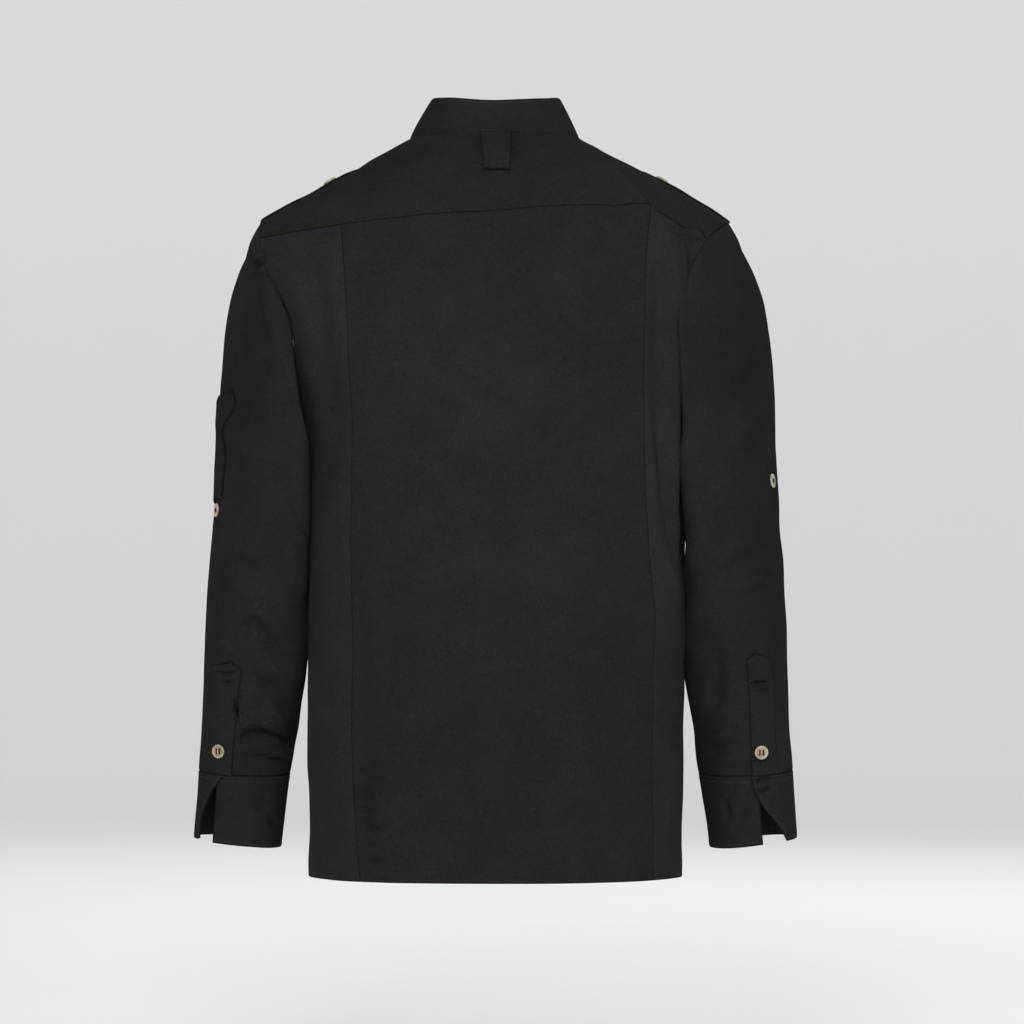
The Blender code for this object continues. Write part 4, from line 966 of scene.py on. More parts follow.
def edge_height(away, sewn):
    """Relief beside an edge: rolled in, and where it is sewn, sunk or doubled as well."""
    height = EDGE_ROLL[0] * np.exp(-((away / EDGE_ROLL[1]) ** 2))
    if sewn is None:
        return height
    for kind, (depth, reach) in SEAM_DIPS.items():
        height = height + (sewn == kind) * depth * np.exp(-((away / reach) ** 2))
    return height + (sewn == OVER) * DOUBLED_HEIGHT * (1 - ramp(away, *DOUBLED_END))


def cell_corners(grid):
    """The four corners of each cell of a grid, in turn."""
    return np.stack([grid[:-1, :-1], grid[:-1, 1:], grid[1:, 1:], grid[1:, :-1]], axis=2)


def add_object(name, data, *materials):
    """A new object of the scene, with its materials in their order."""
    for material in materials:
        data.materials.append(material)
    made = bpy.data.objects.new(name, data)
    bpy.context.collection.objects.link(made)
    return made


class Sheet:
    """One piece of cloth: a grid of outer points with their normals. A closed one has its last
    column joined to its first."""

    def __init__(self, name, points, out, thickness=CLOTH, closed=False):
        self.name = name
        self.points = points
        self.out = out
        self.thickness = np.broadcast_to(thickness, points.shape[:2])
        self.closed = closed
        self.edges = ("foot", "top") if closed else ("foot", "top", "left", "right")
        self.away = {edge: from_edge(edge, points) for edge in ("foot", "top", "left", "right")}

    def sew(self, **sewn):
        """Shapes the edges. Those named are given by how they are sewn, and others are free."""
        for edge in self.edges:
            kind = sewn.get(edge)
            if kind is not None and edge in ("left", "right"):
                kind = np.reshape(kind, (-1, 1))
            height = edge_height(self.away[edge], kind)
            self.points = self.points + self.out * height[..., None]

    def at(self, edge, distance):
        """Points and normals along a line at that distance from an edge."""
        away = turned_to(edge, self.away[edge])
        points, out = turned_to(edge, self.points), turned_to(edge, self.out)
        column = np.arange(away.shape[1])
        i = np.clip((away < distance).sum(axis=0) - 1, 0, len(away) - 2)
        f = ((distance - away[i, column]) / (away[i + 1, column] - away[i, column]))[:, None]
        out = out[i, column] * (1 - f) + out[i + 1, column] * f
        return points[i, column] * (1 - f) + points[i + 1, column] * f, unit(out)

    def stitch(self, group, edge, distance, start=0.0, end=1.0):
        """A row of stitches beside an edge, between two shares of its length."""
        points, out = self.at(edge, distance)
        first, last = (round(share * (len(points) - 1)) for share in (start, end))
        add_stitches(group, points[first:last + 1], out[first:last + 1])

    def cut(self):
        """Width, length and area of the piece laid flat, without hem and seam allowances."""
        across = np.linalg.norm(np.diff(self.points, axis=1), axis=-1)
        up = np.linalg.norm(np.diff(self.points, axis=0), axis=-1)
        width, length = across.sum(axis=1).max(), up.sum(axis=0).max()
        if self.closed:
            width += np.linalg.norm(self.points[:, 0] - self.points[:, -1], axis=-1).max()
        diagonals = (self.points[1:, 1:] - self.points[:-1, :-1],
                     self.points[1:, :-1] - self.points[:-1, 1:])
        area = np.linalg.norm(np.cross(*diagonals), axis=-1).sum() / 2
        return float(width), float(length), float(area)

    def build(self, material, node, slot):
        """The mesh object: both faces, their rims, a cloth map in metres and the distance from
        the nearest edge."""
        inner = self.points - self.out * self.thickness[..., None]
        count = self.points[..., 0].size
        index = np.arange(count).reshape(self.points.shape[:2])
        if self.closed:
            index = np.concatenate([index, index[:, :1]], axis=1)
        cells = cell_corners(index).reshape(-1, 4)
        rims = [(index[0], False), (index[-1], True)]
        if not self.closed:
            rims += [(index[:, 0], True), (index[:, -1], False)]
        faces = [cells, cells[:, ::-1] + count]
        for rim, backwards in rims:
            strip = np.stack([rim[1:], rim[:-1], rim[:-1] + count, rim[1:] + count], axis=-1)
            faces.append(strip[:, ::-1] if backwards else strip)
        faces = np.concatenate(faces)
        corner, beside, above = self.points[0, 0], self.points[0, 1], self.points[1, 0]
        flipped = (np.cross(beside - corner, above - corner) * self.out[0, 0]).sum() < 0
        if flipped:
            faces = faces[:, ::-1]
        mesh = bpy.data.meshes.new(self.name)
        mesh.from_pydata(np.concatenate([self.points, inner]).reshape(-1, 3), [], faces)
        mesh.polygons.foreach_set("use_smooth", np.ones(len(faces), bool))
        self.map_cloth(mesh, faces[2 * len(cells):] % count, flipped)
        mesh.set_sharp_from_angle(angle=SHARP_FOLD)
        made = add_object(self.name, mesh, material)
        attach(made, "root")
        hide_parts(node)
        width, length, area = self.cut()

    def map_cloth(self, mesh, rim_faces, flipped):
        """Cloth coordinates in metres on both faces, and the distance from the edges."""
        left, foot = self.away["left"], self.away["foot"]
        u, v = left - left.max(axis=1, keepdims=True) / 2, foot
        if self.closed:
            closing = np.linalg.norm(self.points[:, 0] - self.points[:, -1], axis=-1)
            u = np.concatenate([u, u[:, -1:] + closing[:, None]], axis=1)
            v = np.concatenate([v, v[:, :1]], axis=1)
        places = cell_corners(np.stack([u, v], axis=-1)).reshape(-1, 4, 2)
        both = [places[:, ::-1], places] if flipped else [places, places[:, ::-1]]
        rim_places = np.stack([left, foot], axis=-1).reshape(-1, 2)[rim_faces]
        values = np.concatenate([*both, rim_places]).astype(np.float32)
        layer = mesh.uv_layers.new(name="cloth")
        layer.data.foreach_set("uv", values.reshape(-1))
        nearest = np.min([self.away[edge] for edge in self.edges], axis=0).reshape(-1)
        border = mesh.attributes.new("border", "FLOAT", "POINT")
        border.data.foreach_set("value", np.concatenate([nearest, nearest]).astype(np.float32))


def run_on(points, out):
    """The grid with its four edges moved on by the seam's lap, within the surface."""
    longer = points.copy()
    for axis in (0, 1):
        grid = np.moveaxis(points, axis, 0)
        moved = np.moveaxis(longer, axis, 0)
        for edge, inside in ((0, 1), (-1, -2)):
            along = np.gradient(grid[edge], axis=0)
            inwards = grid[inside] - grid[edge]
            across = np.cross(np.moveaxis(out, axis, 0)[edge], along)
            across *= np.sign((across * inwards).sum(axis=-1, keepdims=True))
            moved[edge] -= unit(across) * SEAM_LAP
    return longer


def trunk_sheet(name, grid, lift=None, hemmed=True):
    """A piece of the trunk from its grid of (angle, level), and where its rows and columns lie
    among the grid's own."""
    levels = grid[..., 1].mean(axis=1)
    further = np.interp((HEM_WIDTH, HEM_WIDTH + HEM_STEP), levels, np.arange(len(levels)))
    rows = with_edge_lines(grid.shape[0], further if hemmed else ())
    columns = with_edge_lines(grid.shape[1])
    grid = between(between(grid, rows).swapaxes(0, 1), columns).swapaxes(0, 1)
    angle, level = grid[..., 0], grid[..., 1]
    points, out = TRUNK_SKIN(angle, level)
    if lift is not None:
        points = points + out * lift(points)[..., None]
    thickness = CLOTH + HEM_CLOTH * (level < HEM_WIDTH + HEM_STEP / 2) * hemmed
    return Sheet(name, run_on(points, out), out, thickness), rows, columns


def add_patch(kind, side, grid, thickness, material, node):
    """A piece with free edges all round, with its rows of stitches."""
    sheet = Sheet(f"{kind}_{side}" if side else kind, *grid, thickness)
    sheet.sew()
    group, rows = PATCH_ROWS[kind]
    for edge, distance in rows:
        sheet.stitch(group, edge, distance)
    sheet.build(material, node, "black_twill")


# Stitches


def add_stitches(group, points, out, kind=STITCH):
    """Adds a row of thread stitches along a line on the cloth."""
    pitch, length, radius = kind
    steps = np.linalg.norm(np.diff(points, axis=0), axis=1)
    run = np.concatenate([[0], np.cumsum(steps)])
    number = max(int(run[-1] / pitch), 1)
    starts = (np.arange(number) + 0.5) * run[-1] / number - length / 2

    def read(values, at):
        return np.stack([np.interp(at, run, values[:, k]) for k in range(3)], axis=-1)

    heads, tails = read(points, starts), read(points, starts + length)
    facing = unit(read(out, starts + length / 2))
    STITCHES.setdefault(group, []).append((heads, unit(tails - heads), facing, length, radius))


def build_stitches(dark, pale):
    """One mesh for each group of stitches."""
    along, aside, outwards = STITCH_SHAPE.T[..., None]
    for group, rows in STITCHES.items():
        corners = np.concatenate([
            heads[:, None] + way[:, None] * along * length
            + np.cross(facing, way)[:, None] * aside * radius
            + facing[:, None] * outwards * radius
            for heads, way, facing, length, radius in rows
        ])
        shift = np.arange(len(corners))[:, None, None] * len(STITCH_SHAPE)
        faces = (STITCH_FACES[None] + shift).reshape(-1, 3)
        mesh = bpy.data.meshes.new(group)
        mesh.from_pydata(corners.reshape(-1, 3), [], faces)
        mesh.polygons.foreach_set("use_smooth", np.ones(len(faces), bool))
        made = add_object(group, mesh, pale if group in PALE_STITCHES else dark)
        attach(made, "root")


# Buttons


def ring_of(radius, sides, centre=(0.0, 0.0)):
    angles = np.arange(sides) * 2 * pi / sides
    return [(centre[0] + radius * cos(a), centre[1] + radius * sin(a)) for a in angles]


def join_rings(shape, rings):
    """Faces between rings of vertices that follow on."""
    return [
        shape.faces.new((low[k - 1], low[k], high[k], high[k - 1]))
        for low, high in zip(rings, rings[1:])
        for k in range(len(low))
    ]


def make_button(name, skin_of, place, lift, material, thread):
    """A turned horn button with four drilled holes and the thread that holds it."""
    spot, out = skin_of(*(np.array([value]) for value in place), lift)
    facing = Vector(out[0]).normalized()
    up_hint = Vector((0, 0, 1)) if abs(facing.z) < 0.9 else Vector((0, 1, 0))
    aside = facing.cross(up_hint).normalized()
    up = aside.cross(facing)
    base = Vector(spot[0]) + facing * BUTTON_GAP
    shape = bmesh.new()

    def add(x, y, height):
        return shape.verts.new(base + aside * x + up * y + facing * height)

    loops = [
        [add(x, y, height * BUTTON_HEIGHT) for x, y in ring_of(radius * BUTTON_RADIUS, BUTTON_SIDES)]
        for radius, height in BUTTON_PROFILE
    ]
    join_rings(shape, loops)
    dish = BUTTON_PROFILE[-1][1] * BUTTON_HEIGHT
    centres = [(x * HOLE_PLACE, y * HOLE_PLACE) for x in (-1, 1) for y in (-1, 1)]
    holes = [
        [[add(x, y, height) for x, y in ring_of(HOLE_RADIUS, HOLE_SIDES, centre)]
         for centre in centres]
        for height in (0.0, dish)
    ]
    for drilled in zip(*holes):
        join_rings(shape, drilled)
    for outline, drilled in ((loops[0], holes[0]), (loops[-1], holes[1])):
        rings = [outline, *drilled]
        edges = [shape.edges.get((ring[k - 1], ring[k])) for ring in rings for k in range(len(ring))]
        bmesh.ops.triangle_fill(shape, edges=edges, use_beauty=True, normal=facing)
    bmesh.ops.recalc_face_normals(shape, faces=shape.faces)
    for x in (-HOLE_PLACE, HOLE_PLACE):
        rings = [
            [add(x + turned_x * THREAD_SPREAD, y * HOLE_PLACE, dish + height + turned_height)
             for turned_x, turned_height in ring_of(THREAD_RADIUS, THREAD_SIDES)]
            for y, height in THREAD_ARCH
        ]
        for face in join_rings(shape, rings):
            face.material_index = 1
    for face in shape.faces:
        face.smooth = True
    mesh = bpy.data.meshes.new(name)
    shape.to_mesh(mesh)
    shape.free()
    mesh.set_sharp_from_angle(angle=SHARP_HORN)
    # Painted shade in the button's dish: how much darker the horn is made there, where less light
    # falls
    away = np.array([vertex.co for vertex in mesh.vertices]) - np.array(base)
    away -= np.outer(away @ np.array(facing), np.array(facing))
    dish_shade = 1 - ramp(np.linalg.norm(away, axis=1) / BUTTON_RADIUS, *BUTTON_DISH_SHADE)
    mesh.attributes.new("dish", "FLOAT", "POINT").data.foreach_set("value", dish_shade.astype(np.float32))
    made = add_object(f"{name}_horn", mesh, material, thread)
    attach(made, "root")
    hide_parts(name)


# Materials


def shades(colour, *factors):
    return [tuple(part * factor for part in colour) for factor in factors]


class Shading:
    """A new material and the nodes that shade it."""

    def __init__(self, name):
        self.material = bpy.data.materials.new(name)
        self.material.use_nodes = True
        self.tree = self.material.node_tree
        self.place = self.node("ShaderNodeTexCoord").outputs["Object"]

    def fill(self, made, inputs):
        """Gives a node its inputs, by name, as values or as sockets to link."""
        for key, value in inputs.items():
            if isinstance(value, bpy.types.NodeSocket):
                self.tree.links.new(value, made.inputs[key])
            else:
                made.inputs[key].default_value = value

    def node(self, kind, inputs=None, **settings):
        made = self.tree.nodes.new(kind)
        for key, value in settings.items():
            setattr(made, key, value)
        self.fill(made, inputs or {})
        return made

    def attribute(self, name):
        return self.node("ShaderNodeAttribute", attribute_name=name).outputs["Fac"]

    def math(self, operation, a, b=0.0):
        return self.node("ShaderNodeMath", {0: a, 1: b}, operation=operation).outputs[0]

    def add(self, value, weight, rest):
        """The rest, with this value added by its weight."""
        inputs = {0: value, 1: weight, 2: rest}
        return self.node("ShaderNodeMath", inputs, operation="MULTIPLY_ADD").outputs[0]

    def wave(self, cloth, across, up):
        """A sine over the cloth map, with that many waves a metre each way."""
        dot = self.node("ShaderNodeVectorMath", {0: cloth, 1: (across, up, 0)},
                        operation="DOT_PRODUCT")
        return self.math("SINE", self.math("MULTIPLY", dot.outputs["Value"], 2 * pi))

    def stretched(self, place, scale, rotation=(0, 0, 0)):
        inputs = {"Vector": place, "Rotation": rotation, "Scale": scale}
        return self.node("ShaderNodeMapping", inputs).outputs[0]

    def noise(self, place, scale, detail=2.0, roughness=0.5):
        """Noise around 0."""
        inputs = {"Vector": place, "Scale": scale, "Detail": detail, "Roughness": roughness}
        return self.math("SUBTRACT", self.node("ShaderNodeTexNoise", inputs).outputs[0], 0.5)

    def colours(self, tone, *stops):
        """A colour ramp with stops of (place, colour)."""
        made = self.node("ShaderNodeValToRGB", {"Fac": tone})
        elements = made.color_ramp.elements
        while len(elements) < len(stops):
            elements.new(0.5)
        for element, (place, colour) in zip(elements, stops):
            element.position = place
            element.color = (*colour, 1)
        return made.outputs["Color"]

    def bump(self, height, strength, distance, **below):
        inputs = {"Height": height, "Strength": strength, "Distance": distance, **below}
        return self.node("ShaderNodeBump", inputs).outputs[0]

    def finished(self, inputs):
        """The material, with these inputs of its shader."""
        self.fill(self.tree.nodes["Principled BSDF"], inputs)
        return self.material


def cloth_material(name, colour, weave, grain, roughness, sheen, contrast):
    """Woven or knitted cloth, from a row of CLOTHS."""
    made = Shading(name)
    place = made.place
    cloth = made.node("ShaderNodeUVMap", uv_map="cloth").outputs[0]
    border = made.attribute("border")
    yarns = 0.0
    for across, up, weight in weave:
        yarns = made.add(made.wave(cloth, across, up), weight, yarns)
    fibres = made.noise(place, 1400, roughness=0.7)
    slubs = made.noise(made.stretched(cloth, (900, 90, 1)), 1.0)
    flecks = made.noise(place, 480, 1.0)
    mottle = made.noise(place, 26, 4.0, 0.65)
    wide = made.noise(place, 5)
    # Painted shade: a darker line along every edge of a piece, standing in for the shade at its seams
    # and rims
    edge_shade = made.math("LESS_THAN", border, EDGE_SHADE_WIDTH)
    tone = 0.5
    for part, weight in (
        (yarns, 0.16 * contrast), (fibres, grain), (slubs, 0.25 * contrast), (flecks, 0.60),
        (mottle, 0.36), (wide, 0.32), (edge_shade, -0.30),
    ):
        tone = made.add(part, weight, tone)
    woven = made.bump(made.add(fibres, 0.8, yarns), 0.35, 0.00015)
    near = made.math("EXPONENT", made.math("MULTIPLY", border, -190))
    gathers = made.noise(made.stretched(cloth, (150, 150, 1)), 1.0, 1.0)
    puckered = made.bump(made.math("MULTIPLY", gathers, near), 0.55, 0.0016, Normal=woven)
    rumple = made.noise(place, 55, 3.0, 0.55)
    return made.finished({
        "Base Color": made.colours(tone, *zip((0.0, 0.5, 1.0), shades(colour, 0.45, 1.0, 1.75))),
        "Roughness": made.add(mottle, 0.12, roughness),
        "Sheen Weight": sheen,
        "Sheen Roughness": 0.45,
        "Specular IOR Level": 0.0,
        "Normal": made.bump(rumple, 0.30, 0.0020, Normal=puckered),
    })


def thread_material(name, colour):
    made = Shading(name)
    fibres = made.noise(made.place, 2500)
    tone = made.math("ADD", fibres, 0.5)
    return made.finished({
        "Base Color": made.colours(tone, *zip((0.2, 0.8), shades(colour, 0.6, 1.4))),
        "Roughness": 0.75,
        "Specular IOR Level": 0.12,
        "Normal": made.bump(fibres, 0.5, 0.0002),
    })


def horn_material():
    """Streaked horn, darker and less lit in the dish of a button."""
    made = Shading("horn")
    grain = made.stretched(made.place, (420, 60, 160), (0.3, 0.5, 0.6))
    streaks = made.noise(grain, 1.0, 4.0, 0.65)
    tone = made.add(made.noise(made.place, 120), 0.8, made.add(streaks, 1.1, 0.62))
    # painted shade in the dish
    tone = made.add(made.attribute("dish"), -0.22, tone)
    return made.finished({
        "Base Color": made.colours(tone, *HORN_COLOURS),
        "Roughness": made.add(streaks, 0.2, 0.36),
        "Coat Weight": 0.15,
        "Normal": made.bump(streaks, 0.15, 0.0002),
    })


def room_material():
    """Pale and slightly mottled, with a glow that keeps the corners light."""
    made = Shading("room")
    tone = made.add(made.noise(made.place, 3, 3.0), 0.06, 0.5)
    stops = zip((0.3, 0.7), shades(ROOM_COLOUR, 0.97, 1.03))
    return made.finished({
        "Base Color": made.colours(tone, *stops),
        "Roughness": 0.9,
        "Emission Color": (1.0, 1.0, 1.0, 1),
        "Emission Strength": ROOM_GLOW,
    })


# Pieces


def blend(ends, share):
    """Between two ends, by a share of the way."""
    return ends[0] + (ends[1] - ends[0]) * share


def cells(rows, columns):
    """Shares of the way up and across a grid with that many cells and lines beside its edges."""
    lines = (with_edge_lines(count + 1) / count for count in (rows, columns))
    return np.meshgrid(*lines, indexing="ij")


def make_back(twill):
    left, right = (back_seam(side, seam_corner(side)[1]) for side in SIDES)
    columns = BACK_COLUMNS * FINE_COLUMNS
    top = yoke_seam(BACK_SEAMS["left"][-1][1], BACK_SEAMS["right"][-1][1], columns)
    left[-1], right[-1] = top[0], top[-1]
    grid = patch(hem(left[0][0], right[0][0], BACK_COLUMNS), top, left, right)
    sheet, _, _ = trunk_sheet("back_cloth", grid)
    sheet.sew(top=UNDER, left=PRESSED, right=PRESSED)
    sheet.stitch("stitches_hem", "foot", HEM_ROW)
    sheet.build(twill, "back_panel", "black_twill")


def make_side_panel(side, knit):
    back, front = back_seam(side, seam_corner(side)[1]), front_side_seam(side)
    under = armhole_run(side, YOKE_TURN, SIDE_SEAM_TURN, UNDERARM_COLUMNS * FINE_COLUMNS)
    top = chain(side_yoke_seam(side), under)
    back[-1] = top[0]
    below_corner = on_side(side, UNDER_CORNER_ANGLE[side])
    foot = chain(
        hem(back[0][0], below_corner, SIDE_COLUMNS),
        hem(below_corner, front[0][0], UNDERARM_COLUMNS),
    )
    sheet, _, columns = trunk_sheet(f"side_cloth_{side}", patch(foot, top, back, front))
    at_yoke = columns <= SIDE_COLUMNS * FINE_COLUMNS
    sheet.sew(top=np.where(at_yoke, UNDER, OVER), left=PRESSED, right=PRESSED)
    sheet.stitch("stitches_armholes", "top", ARMHOLE_ROW, start=at_yoke.mean())
    sheet.stitch("stitches_hem", "foot", HEM_ROW)
    sheet.build(knit, f"side_panel_{side}", "blue_knit")


def make_yoke(twill):
    run = {}
    arm = ARM_COLUMNS * FINE_COLUMNS
    for side in SIDES:
        over = armhole_run(side, SHOULDER_SEAM_TURN, YOKE_TURN - 2 * pi, arm)
        run[side] = chain(over, side_yoke_seam(side)[::-1])
    columns = BACK_COLUMNS * FINE_COLUMNS
    back = yoke_seam(BACK_SEAMS["left"][-1][1], BACK_SEAMS["right"][-1][1], columns)
    foot = chain(run["left"], back, run["right"][::-1])
    ends = [
        [on_side(side, angle) for angle in (SHOULDER_SEAM_NECK, *NECK_BACK_ANGLES[side])]
        for side in SIDES
    ]
    stops = ends[0] + ends[1][::-1]
    counts = (ARM_COLUMNS, SIDE_COLUMNS, BACK_COLUMNS, SIDE_COLUMNS, ARM_COLUMNS)
    neck = chain(*(
        line((start, NECK_LEVEL), (end, NECK_LEVEL), count * FINE_COLUMNS)
        for start, end, count in zip(stops, stops[1:], counts)
    ))
    share = np.linspace(0, 1, YOKE_ROWS * FINE_ROWS + 1)[:, None]
    left, right = (blend((foot[i], neck[i]), share) for i in (0, -1))
    sheet, _, _ = trunk_sheet("yoke_cloth", patch(foot, neck, left, right), hemmed=False)
    sheet.sew(foot=OVER, top=UNDER, left=OVER, right=OVER)
    arm_share = arm / (len(foot) - 1)
    sheet.stitch("stitches_yoke", "foot", YOKE_ROW, start=arm_share, end=1 - arm_share)
    sheet.stitch("stitches_armholes", "foot", ARMHOLE_ROW, end=arm_share)
    sheet.stitch("stitches_armholes", "foot", ARMHOLE_ROW, start=1 - arm_share)
    for edge in ("left", "right"):
        sheet.stitch("stitches_yoke", edge, YOKE_ROW)
    sheet.build(twill, "yoke", "black_twill")
    return neck[:, 0]


def neck_angles(side):
    """Angles of the front's points along the neck, from the shoulder seam to the closing."""
    start = on_side(side, SHOULDER_SEAM_NECK)
    if side == "left":
        end = angle_at_x(CLOSING_X, NECK_LEVEL, True)
        return np.linspace(start, end, NECK_COLUMNS * FINE_COLUMNS + 1)
    collar_end = angle_at_x(COLLAR_END_X, NECK_LEVEL, True) + 2 * pi
    lap = angle_at_x(UNDERLAP_X, NECK_LEVEL, True) + 2 * pi
    return chain(
        np.linspace(start, collar_end, RIGHT_NECK_COLUMNS * FINE_COLUMNS + 1),
        np.linspace(collar_end, lap, UNDERLAP_COLUMNS * FINE_COLUMNS + 1),
    )


def sunk_underlap(points):
    return -UNDERLAP_SINK * ramp(points[..., 0], *UNDERLAP_BLEND)


def make_front(side, twill):
    seam = front_side_seam(side)
    arm_rows = ARM_FRONT_ROWS * FINE_ROWS
    outer = chain(seam, armhole_run(side, SIDE_SEAM_TURN, SHOULDER_SEAM_TURN, arm_rows))
    angles = neck_angles(side)
    neck = np.stack([angles, np.full(angles.shape, NECK_LEVEL)], axis=-1)
    top = chain(shoulder_seam(side), neck)
    level = chain(
        rows_to(CLOSING_KNEE_LEVEL), np.linspace(CLOSING_KNEE_LEVEL, NECK_LEVEL, arm_rows + 1)
    )
    edge_x, turns, lift = {
        "left": (CLOSING_X, 0, None), "right": (UNDERLAP_X, 1, sunk_underlap),
    }[side]
    edge = np.stack([angle_at_x(edge_x, level, True) + turns * 2 * pi, level], axis=-1)
    foot = line((outer[0][0], HEM_LEVEL), (edge[0][0], HEM_LEVEL), len(top) - 1)
    sheet, rows, _ = trunk_sheet(f"front_cloth_{side}", patch(foot, top, outer, edge), lift)
    at_panel = rows <= TRUNK_ROWS * FINE_ROWS
    sheet.sew(top=UNDER, left=np.where(at_panel, PRESSED, OVER))
    sheet.stitch("stitches_armholes", "left", ARMHOLE_ROW, start=at_panel.mean())
    sheet.stitch("stitches_hem", "foot", HEM_ROW)
    if side == "left":
        sheet.stitch("stitches_closing", "right", CLOSING_ROW)
    sheet.build(twill, f"front_{side}", "black_twill")


def make_collar(yoke_angles, twill):
    left = neck_angles("left")
    right = neck_angles("right")[:RIGHT_NECK_COLUMNS * FINE_COLUMNS + 1]
    angles = np.concatenate([left[::-1], yoke_angles[1:-1], right])
    rows = with_edge_lines(COLLAR_ROWS * FINE_ROWS + 1)
    heights = rows / rows[-1] * (1 + COLLAR_LAP) - COLLAR_LAP
    angle, height = np.meshgrid(between(angles, with_edge_lines(len(angles))), heights)
    grid = skin(collar, 1, "collar")(angle, height)
    add_patch("collar_cloth", None, grid, STIFF_CLOTH, twill, "collar")


def make_neck_loop(tape):
    share, across = np.meshgrid(*(np.linspace(0, 1, count) for count in LOOP_GRID), indexing="ij")
    level = blend(LOOP_LEVELS, share)
    ends = [blend(ends, share) for ends in zip(LOOP_TOP_X, LOOP_FOOT_X)]
    thickness = blend((LOOP_CLOTH, LOOP_FOLD_CLOTH), ramp(share, *LOOP_FOLD))
    bow = LOOP_BOW * np.sin(pi * np.clip(share / LOOP_BOW_END, 0, 1)) ** LOOP_BOW_POWER
    lift = LAY_GAP + thickness + bow + LOOP_CLEARANCE
    grid = TRUNK_SKIN(angle_at_x(blend(ends, across), level), level, lift)
    add_patch("loop_tape", None, grid, thickness, tape, "neck_loop")


def make_epaulette(side, twill, horn, thread):
    rows, columns = EPAULETTE_GRID
    share, across = np.meshgrid(np.linspace(0, 1, rows), np.linspace(-1, 1, columns), indexing="ij")
    level = blend(EPAULETTE_LEVELS, share) + EPAULETTE_POINT * (1 - np.abs(across)) * share**4
    y = blend(EPAULETTE_CENTRES_Y, share) + blend(EPAULETTE_HALF_WIDTHS, share) * across
    grid = TRUNK_SKIN(on_side(side, angle_at_y(y, level)), level, EPAULETTE_LIFT)
    add_patch("epaulette_cloth", side, grid, EPAULETTE_CLOTH, twill, f"epaulette_{side}")
    level = EPAULETTE_BUTTON_LEVEL
    angle = on_side(side, angle_at_y(np.interp(level, EPAULETTE_LEVELS, EPAULETTE_CENTRES_Y), level))
    make_button(f"epaulette_button_{side}", TRUNK_SKIN, (angle, level), EPAULETTE_LIFT, horn, thread)


def armhole_turns():
    """Turns of a sleeve's columns, all the way round from the yoke's corner."""
    stops = (YOKE_TURN, SIDE_SEAM_TURN, SHOULDER_SEAM_TURN, YOKE_TURN - 2 * pi)
    counts = (UNDERARM_COLUMNS, ARM_FRONT_ROWS, ARM_COLUMNS)
    return chain(*(
        np.linspace(start, end, count * FINE_COLUMNS + 1)
        for start, end, count in zip(stops, stops[1:], counts)
    ))[:-1]


def make_sleeve(side, twill):
    rows = with_edge_lines(SLEEVE_CELLS + 1) / SLEEVE_CELLS * SLEEVE_LENGTH
    along, turn = np.meshgrid(rows, armhole_turns(), indexing="ij")
    points, out = SLEEVE_SKINS[side](along, turn)
    sheet = Sheet(f"sleeve_cloth_{side}", points, out, closed=True)
    sheet.sew(foot=UNDER, top=PRESSED)
    sheet.build(twill, f"sleeve_{side}", "black_twill")


def make_placket(side, twill, horn, thread):
    size = dict(zip(PLACKET_COLUMNS, PLACKETS[side]))
    share, across = cells(*PLACKET_CELLS)
    turn = blend([blend(size[ends], share) for ends in ("slit_turns", "outer_turns")], across)
    along = blend((size["top"], size["foot"]), share)
    along += size["point"] * np.abs(across - PLACKET_PEAK) * (1 - share) ** 3
    grid = SLEEVE_SKINS[side](along, turn, PLACKET_LIFT)
    add_patch("placket_cloth", side, grid, PLACKET_CLOTH, twill, f"placket_{side}")
    make_button(f"placket_button_{side}", SLEEVE_SKINS[side], PLACKET_BUTTONS[side], PLACKET_LIFT,
                horn, thread)


def make_cuff(side, twill):
    share, across = cells(CUFF_ROWS * FINE_ROWS, CUFF_COLUMNS * FINE_COLUMNS)
    down, ends = zip(*FLAP_ENDS[side])
    start = UNDERLAP_TURN[side]
    turn = blend((start, np.radians(smooth(share, down, ends)) - 2 * pi), across)
    lifted = 1 - ramp(turn - (start - 2 * pi), 0, FLAP_BLEND)
    points, out = CUFF_SKINS[side](share, turn, FLAP_LIFT * lifted + FLAP_FLARE * lifted * share**2)
    points[..., 2] += FLAP_RISE[side] * lifted * share
    add_patch("cuff_cloth", side, (points, out), STIFF_CLOTH, twill, f"cuff_{side}")


def make_sleeve_pocket(twill):
    share, across = cells(*POCKET_CELLS)
    puff = POCKET_PUFF * np.sqrt(4 * across * (1 - across) * (1 - share**2))
    grid = SLEEVE_SKINS["left"](blend(POCKET_ALONG, share), blend(POCKET_TURNS, across),
                                PLACKET_LIFT + puff)
    add_patch("pocket_cloth", None, grid, PLACKET_CLOTH, twill, "sleeve_pocket")


def make_front_buttons(horn, thread):
    for number, level in enumerate(FRONT_BUTTON_LEVELS, 1):
        place = (angle_at_x(FRONT_BUTTON_X, level, True), level)
        make_button(f"front_button_{number}", TRUNK_SKIN, place, 0.0, horn, thread)
        x = FRONT_BUTTON_X + np.linspace(-BUTTONHOLE_REACH, BUTTONHOLE_REACH, BUTTONHOLE_POINTS)
        bar, out = TRUNK_SKIN(angle_at_x(x, level, True), np.full(x.shape, level))
        for rise in (-BUTTONHOLE_RISE, BUTTONHOLE_RISE):
            add_stitches("stitches_buttonholes", bar + (0, 0, rise), out, BAR_STITCH)


# Room, light and camera


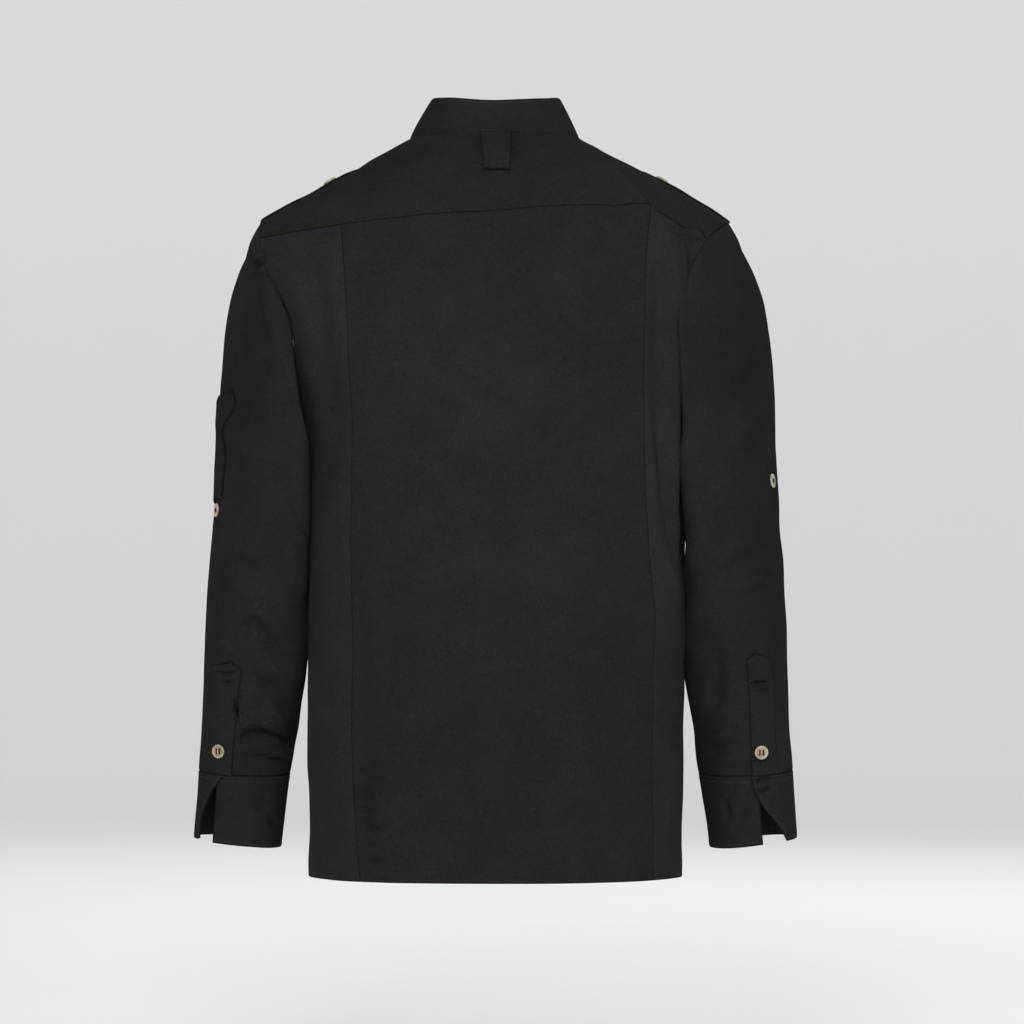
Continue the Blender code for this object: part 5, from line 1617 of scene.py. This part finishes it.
def make_room(material):
    """A pale round floor that curves up into a wall all round, outside every camera."""
    turns = np.linspace(0, pi / 2, ROOM_COVE_STEPS + 1)
    profile = [(ROOM_DISC_RADIUS, ROOM_FLOOR)]
    profile += [(ROOM_RADIUS + ROOM_COVE * sin(turn), ROOM_FLOOR + ROOM_COVE * (1 - cos(turn)))
                for turn in turns]
    profile.append((ROOM_RADIUS + ROOM_COVE, ROOM_TOP))
    shape = bmesh.new()
    rings = [[shape.verts.new((x, y, z)) for x, y in ring_of(radius, ROOM_SIDES)]
             for radius, z in profile]
    shape.faces.new(rings[0])
    for face in join_rings(shape, rings):
        face.smooth = True
    bmesh.ops.recalc_face_normals(shape, faces=shape.faces)
    mesh = bpy.data.meshes.new("room")
    shape.to_mesh(mesh)
    shape.free()
    room = add_object("room", mesh, material)


def add_light(name, place, size, power):
    lamp = bpy.data.lights.new(name, "AREA")
    lamp.shape = "RECTANGLE"
    lamp.size, lamp.size_y = size
    lamp.energy = power
    made = add_object(name, lamp)
    made.location = place
    aim = Vector(LIGHTS_TARGET) - Vector(place)
    made.rotation_euler = aim.to_track_quat("-Z", "Y").to_euler()


def set_stage():
    make_room(room_material())
    for name, (place, size, power) in LIGHTS.items():
        add_light(name, place, size, power)
    world = bpy.data.worlds.new("studio")
    world.use_nodes = True
    background = world.node_tree.nodes["Background"]
    background.inputs["Color"].default_value = WORLD_COLOUR
    background.inputs["Strength"].default_value = WORLD_STRENGTH
    scene = bpy.context.scene
    scene.world = world
    scene.view_settings.view_transform = "Standard"
    camera = bpy.data.cameras.new("camera")
    camera.lens = CAMERA_LENS
    camera.sensor_width = 36
    made = add_object("camera", camera)
    made.location = CAMERA_PLACE
    made.rotation_euler = (radians(90), 0, radians(180))
    scene.camera = made


def main():
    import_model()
    twill, knit, tape = (cloth_material(name, *row) for name, row in CLOTHS.items())
    thread = thread_material("thread", THREAD_COLOUR)
    pale_thread = thread_material("pale thread", PALE_THREAD_COLOUR)
    horn = horn_material()
    make_back(twill)
    yoke_angles = make_yoke(twill)
    make_collar(yoke_angles, twill)
    make_neck_loop(tape)
    for side in SIDES:
        make_side_panel(side, knit)
        make_front(side, twill)
        make_epaulette(side, twill, horn, thread)
        make_sleeve(side, twill)
        make_placket(side, twill, horn, thread)
        make_cuff(side, twill)
        make_button(f"roll_button_{side}", SLEEVE_SKINS[side], ROLL_BUTTONS[side], 0.0, horn, thread)
    make_sleeve_pocket(twill)
    make_front_buttons(horn, thread)
    build_stitches(thread, pale_thread)
    set_stage()


main()
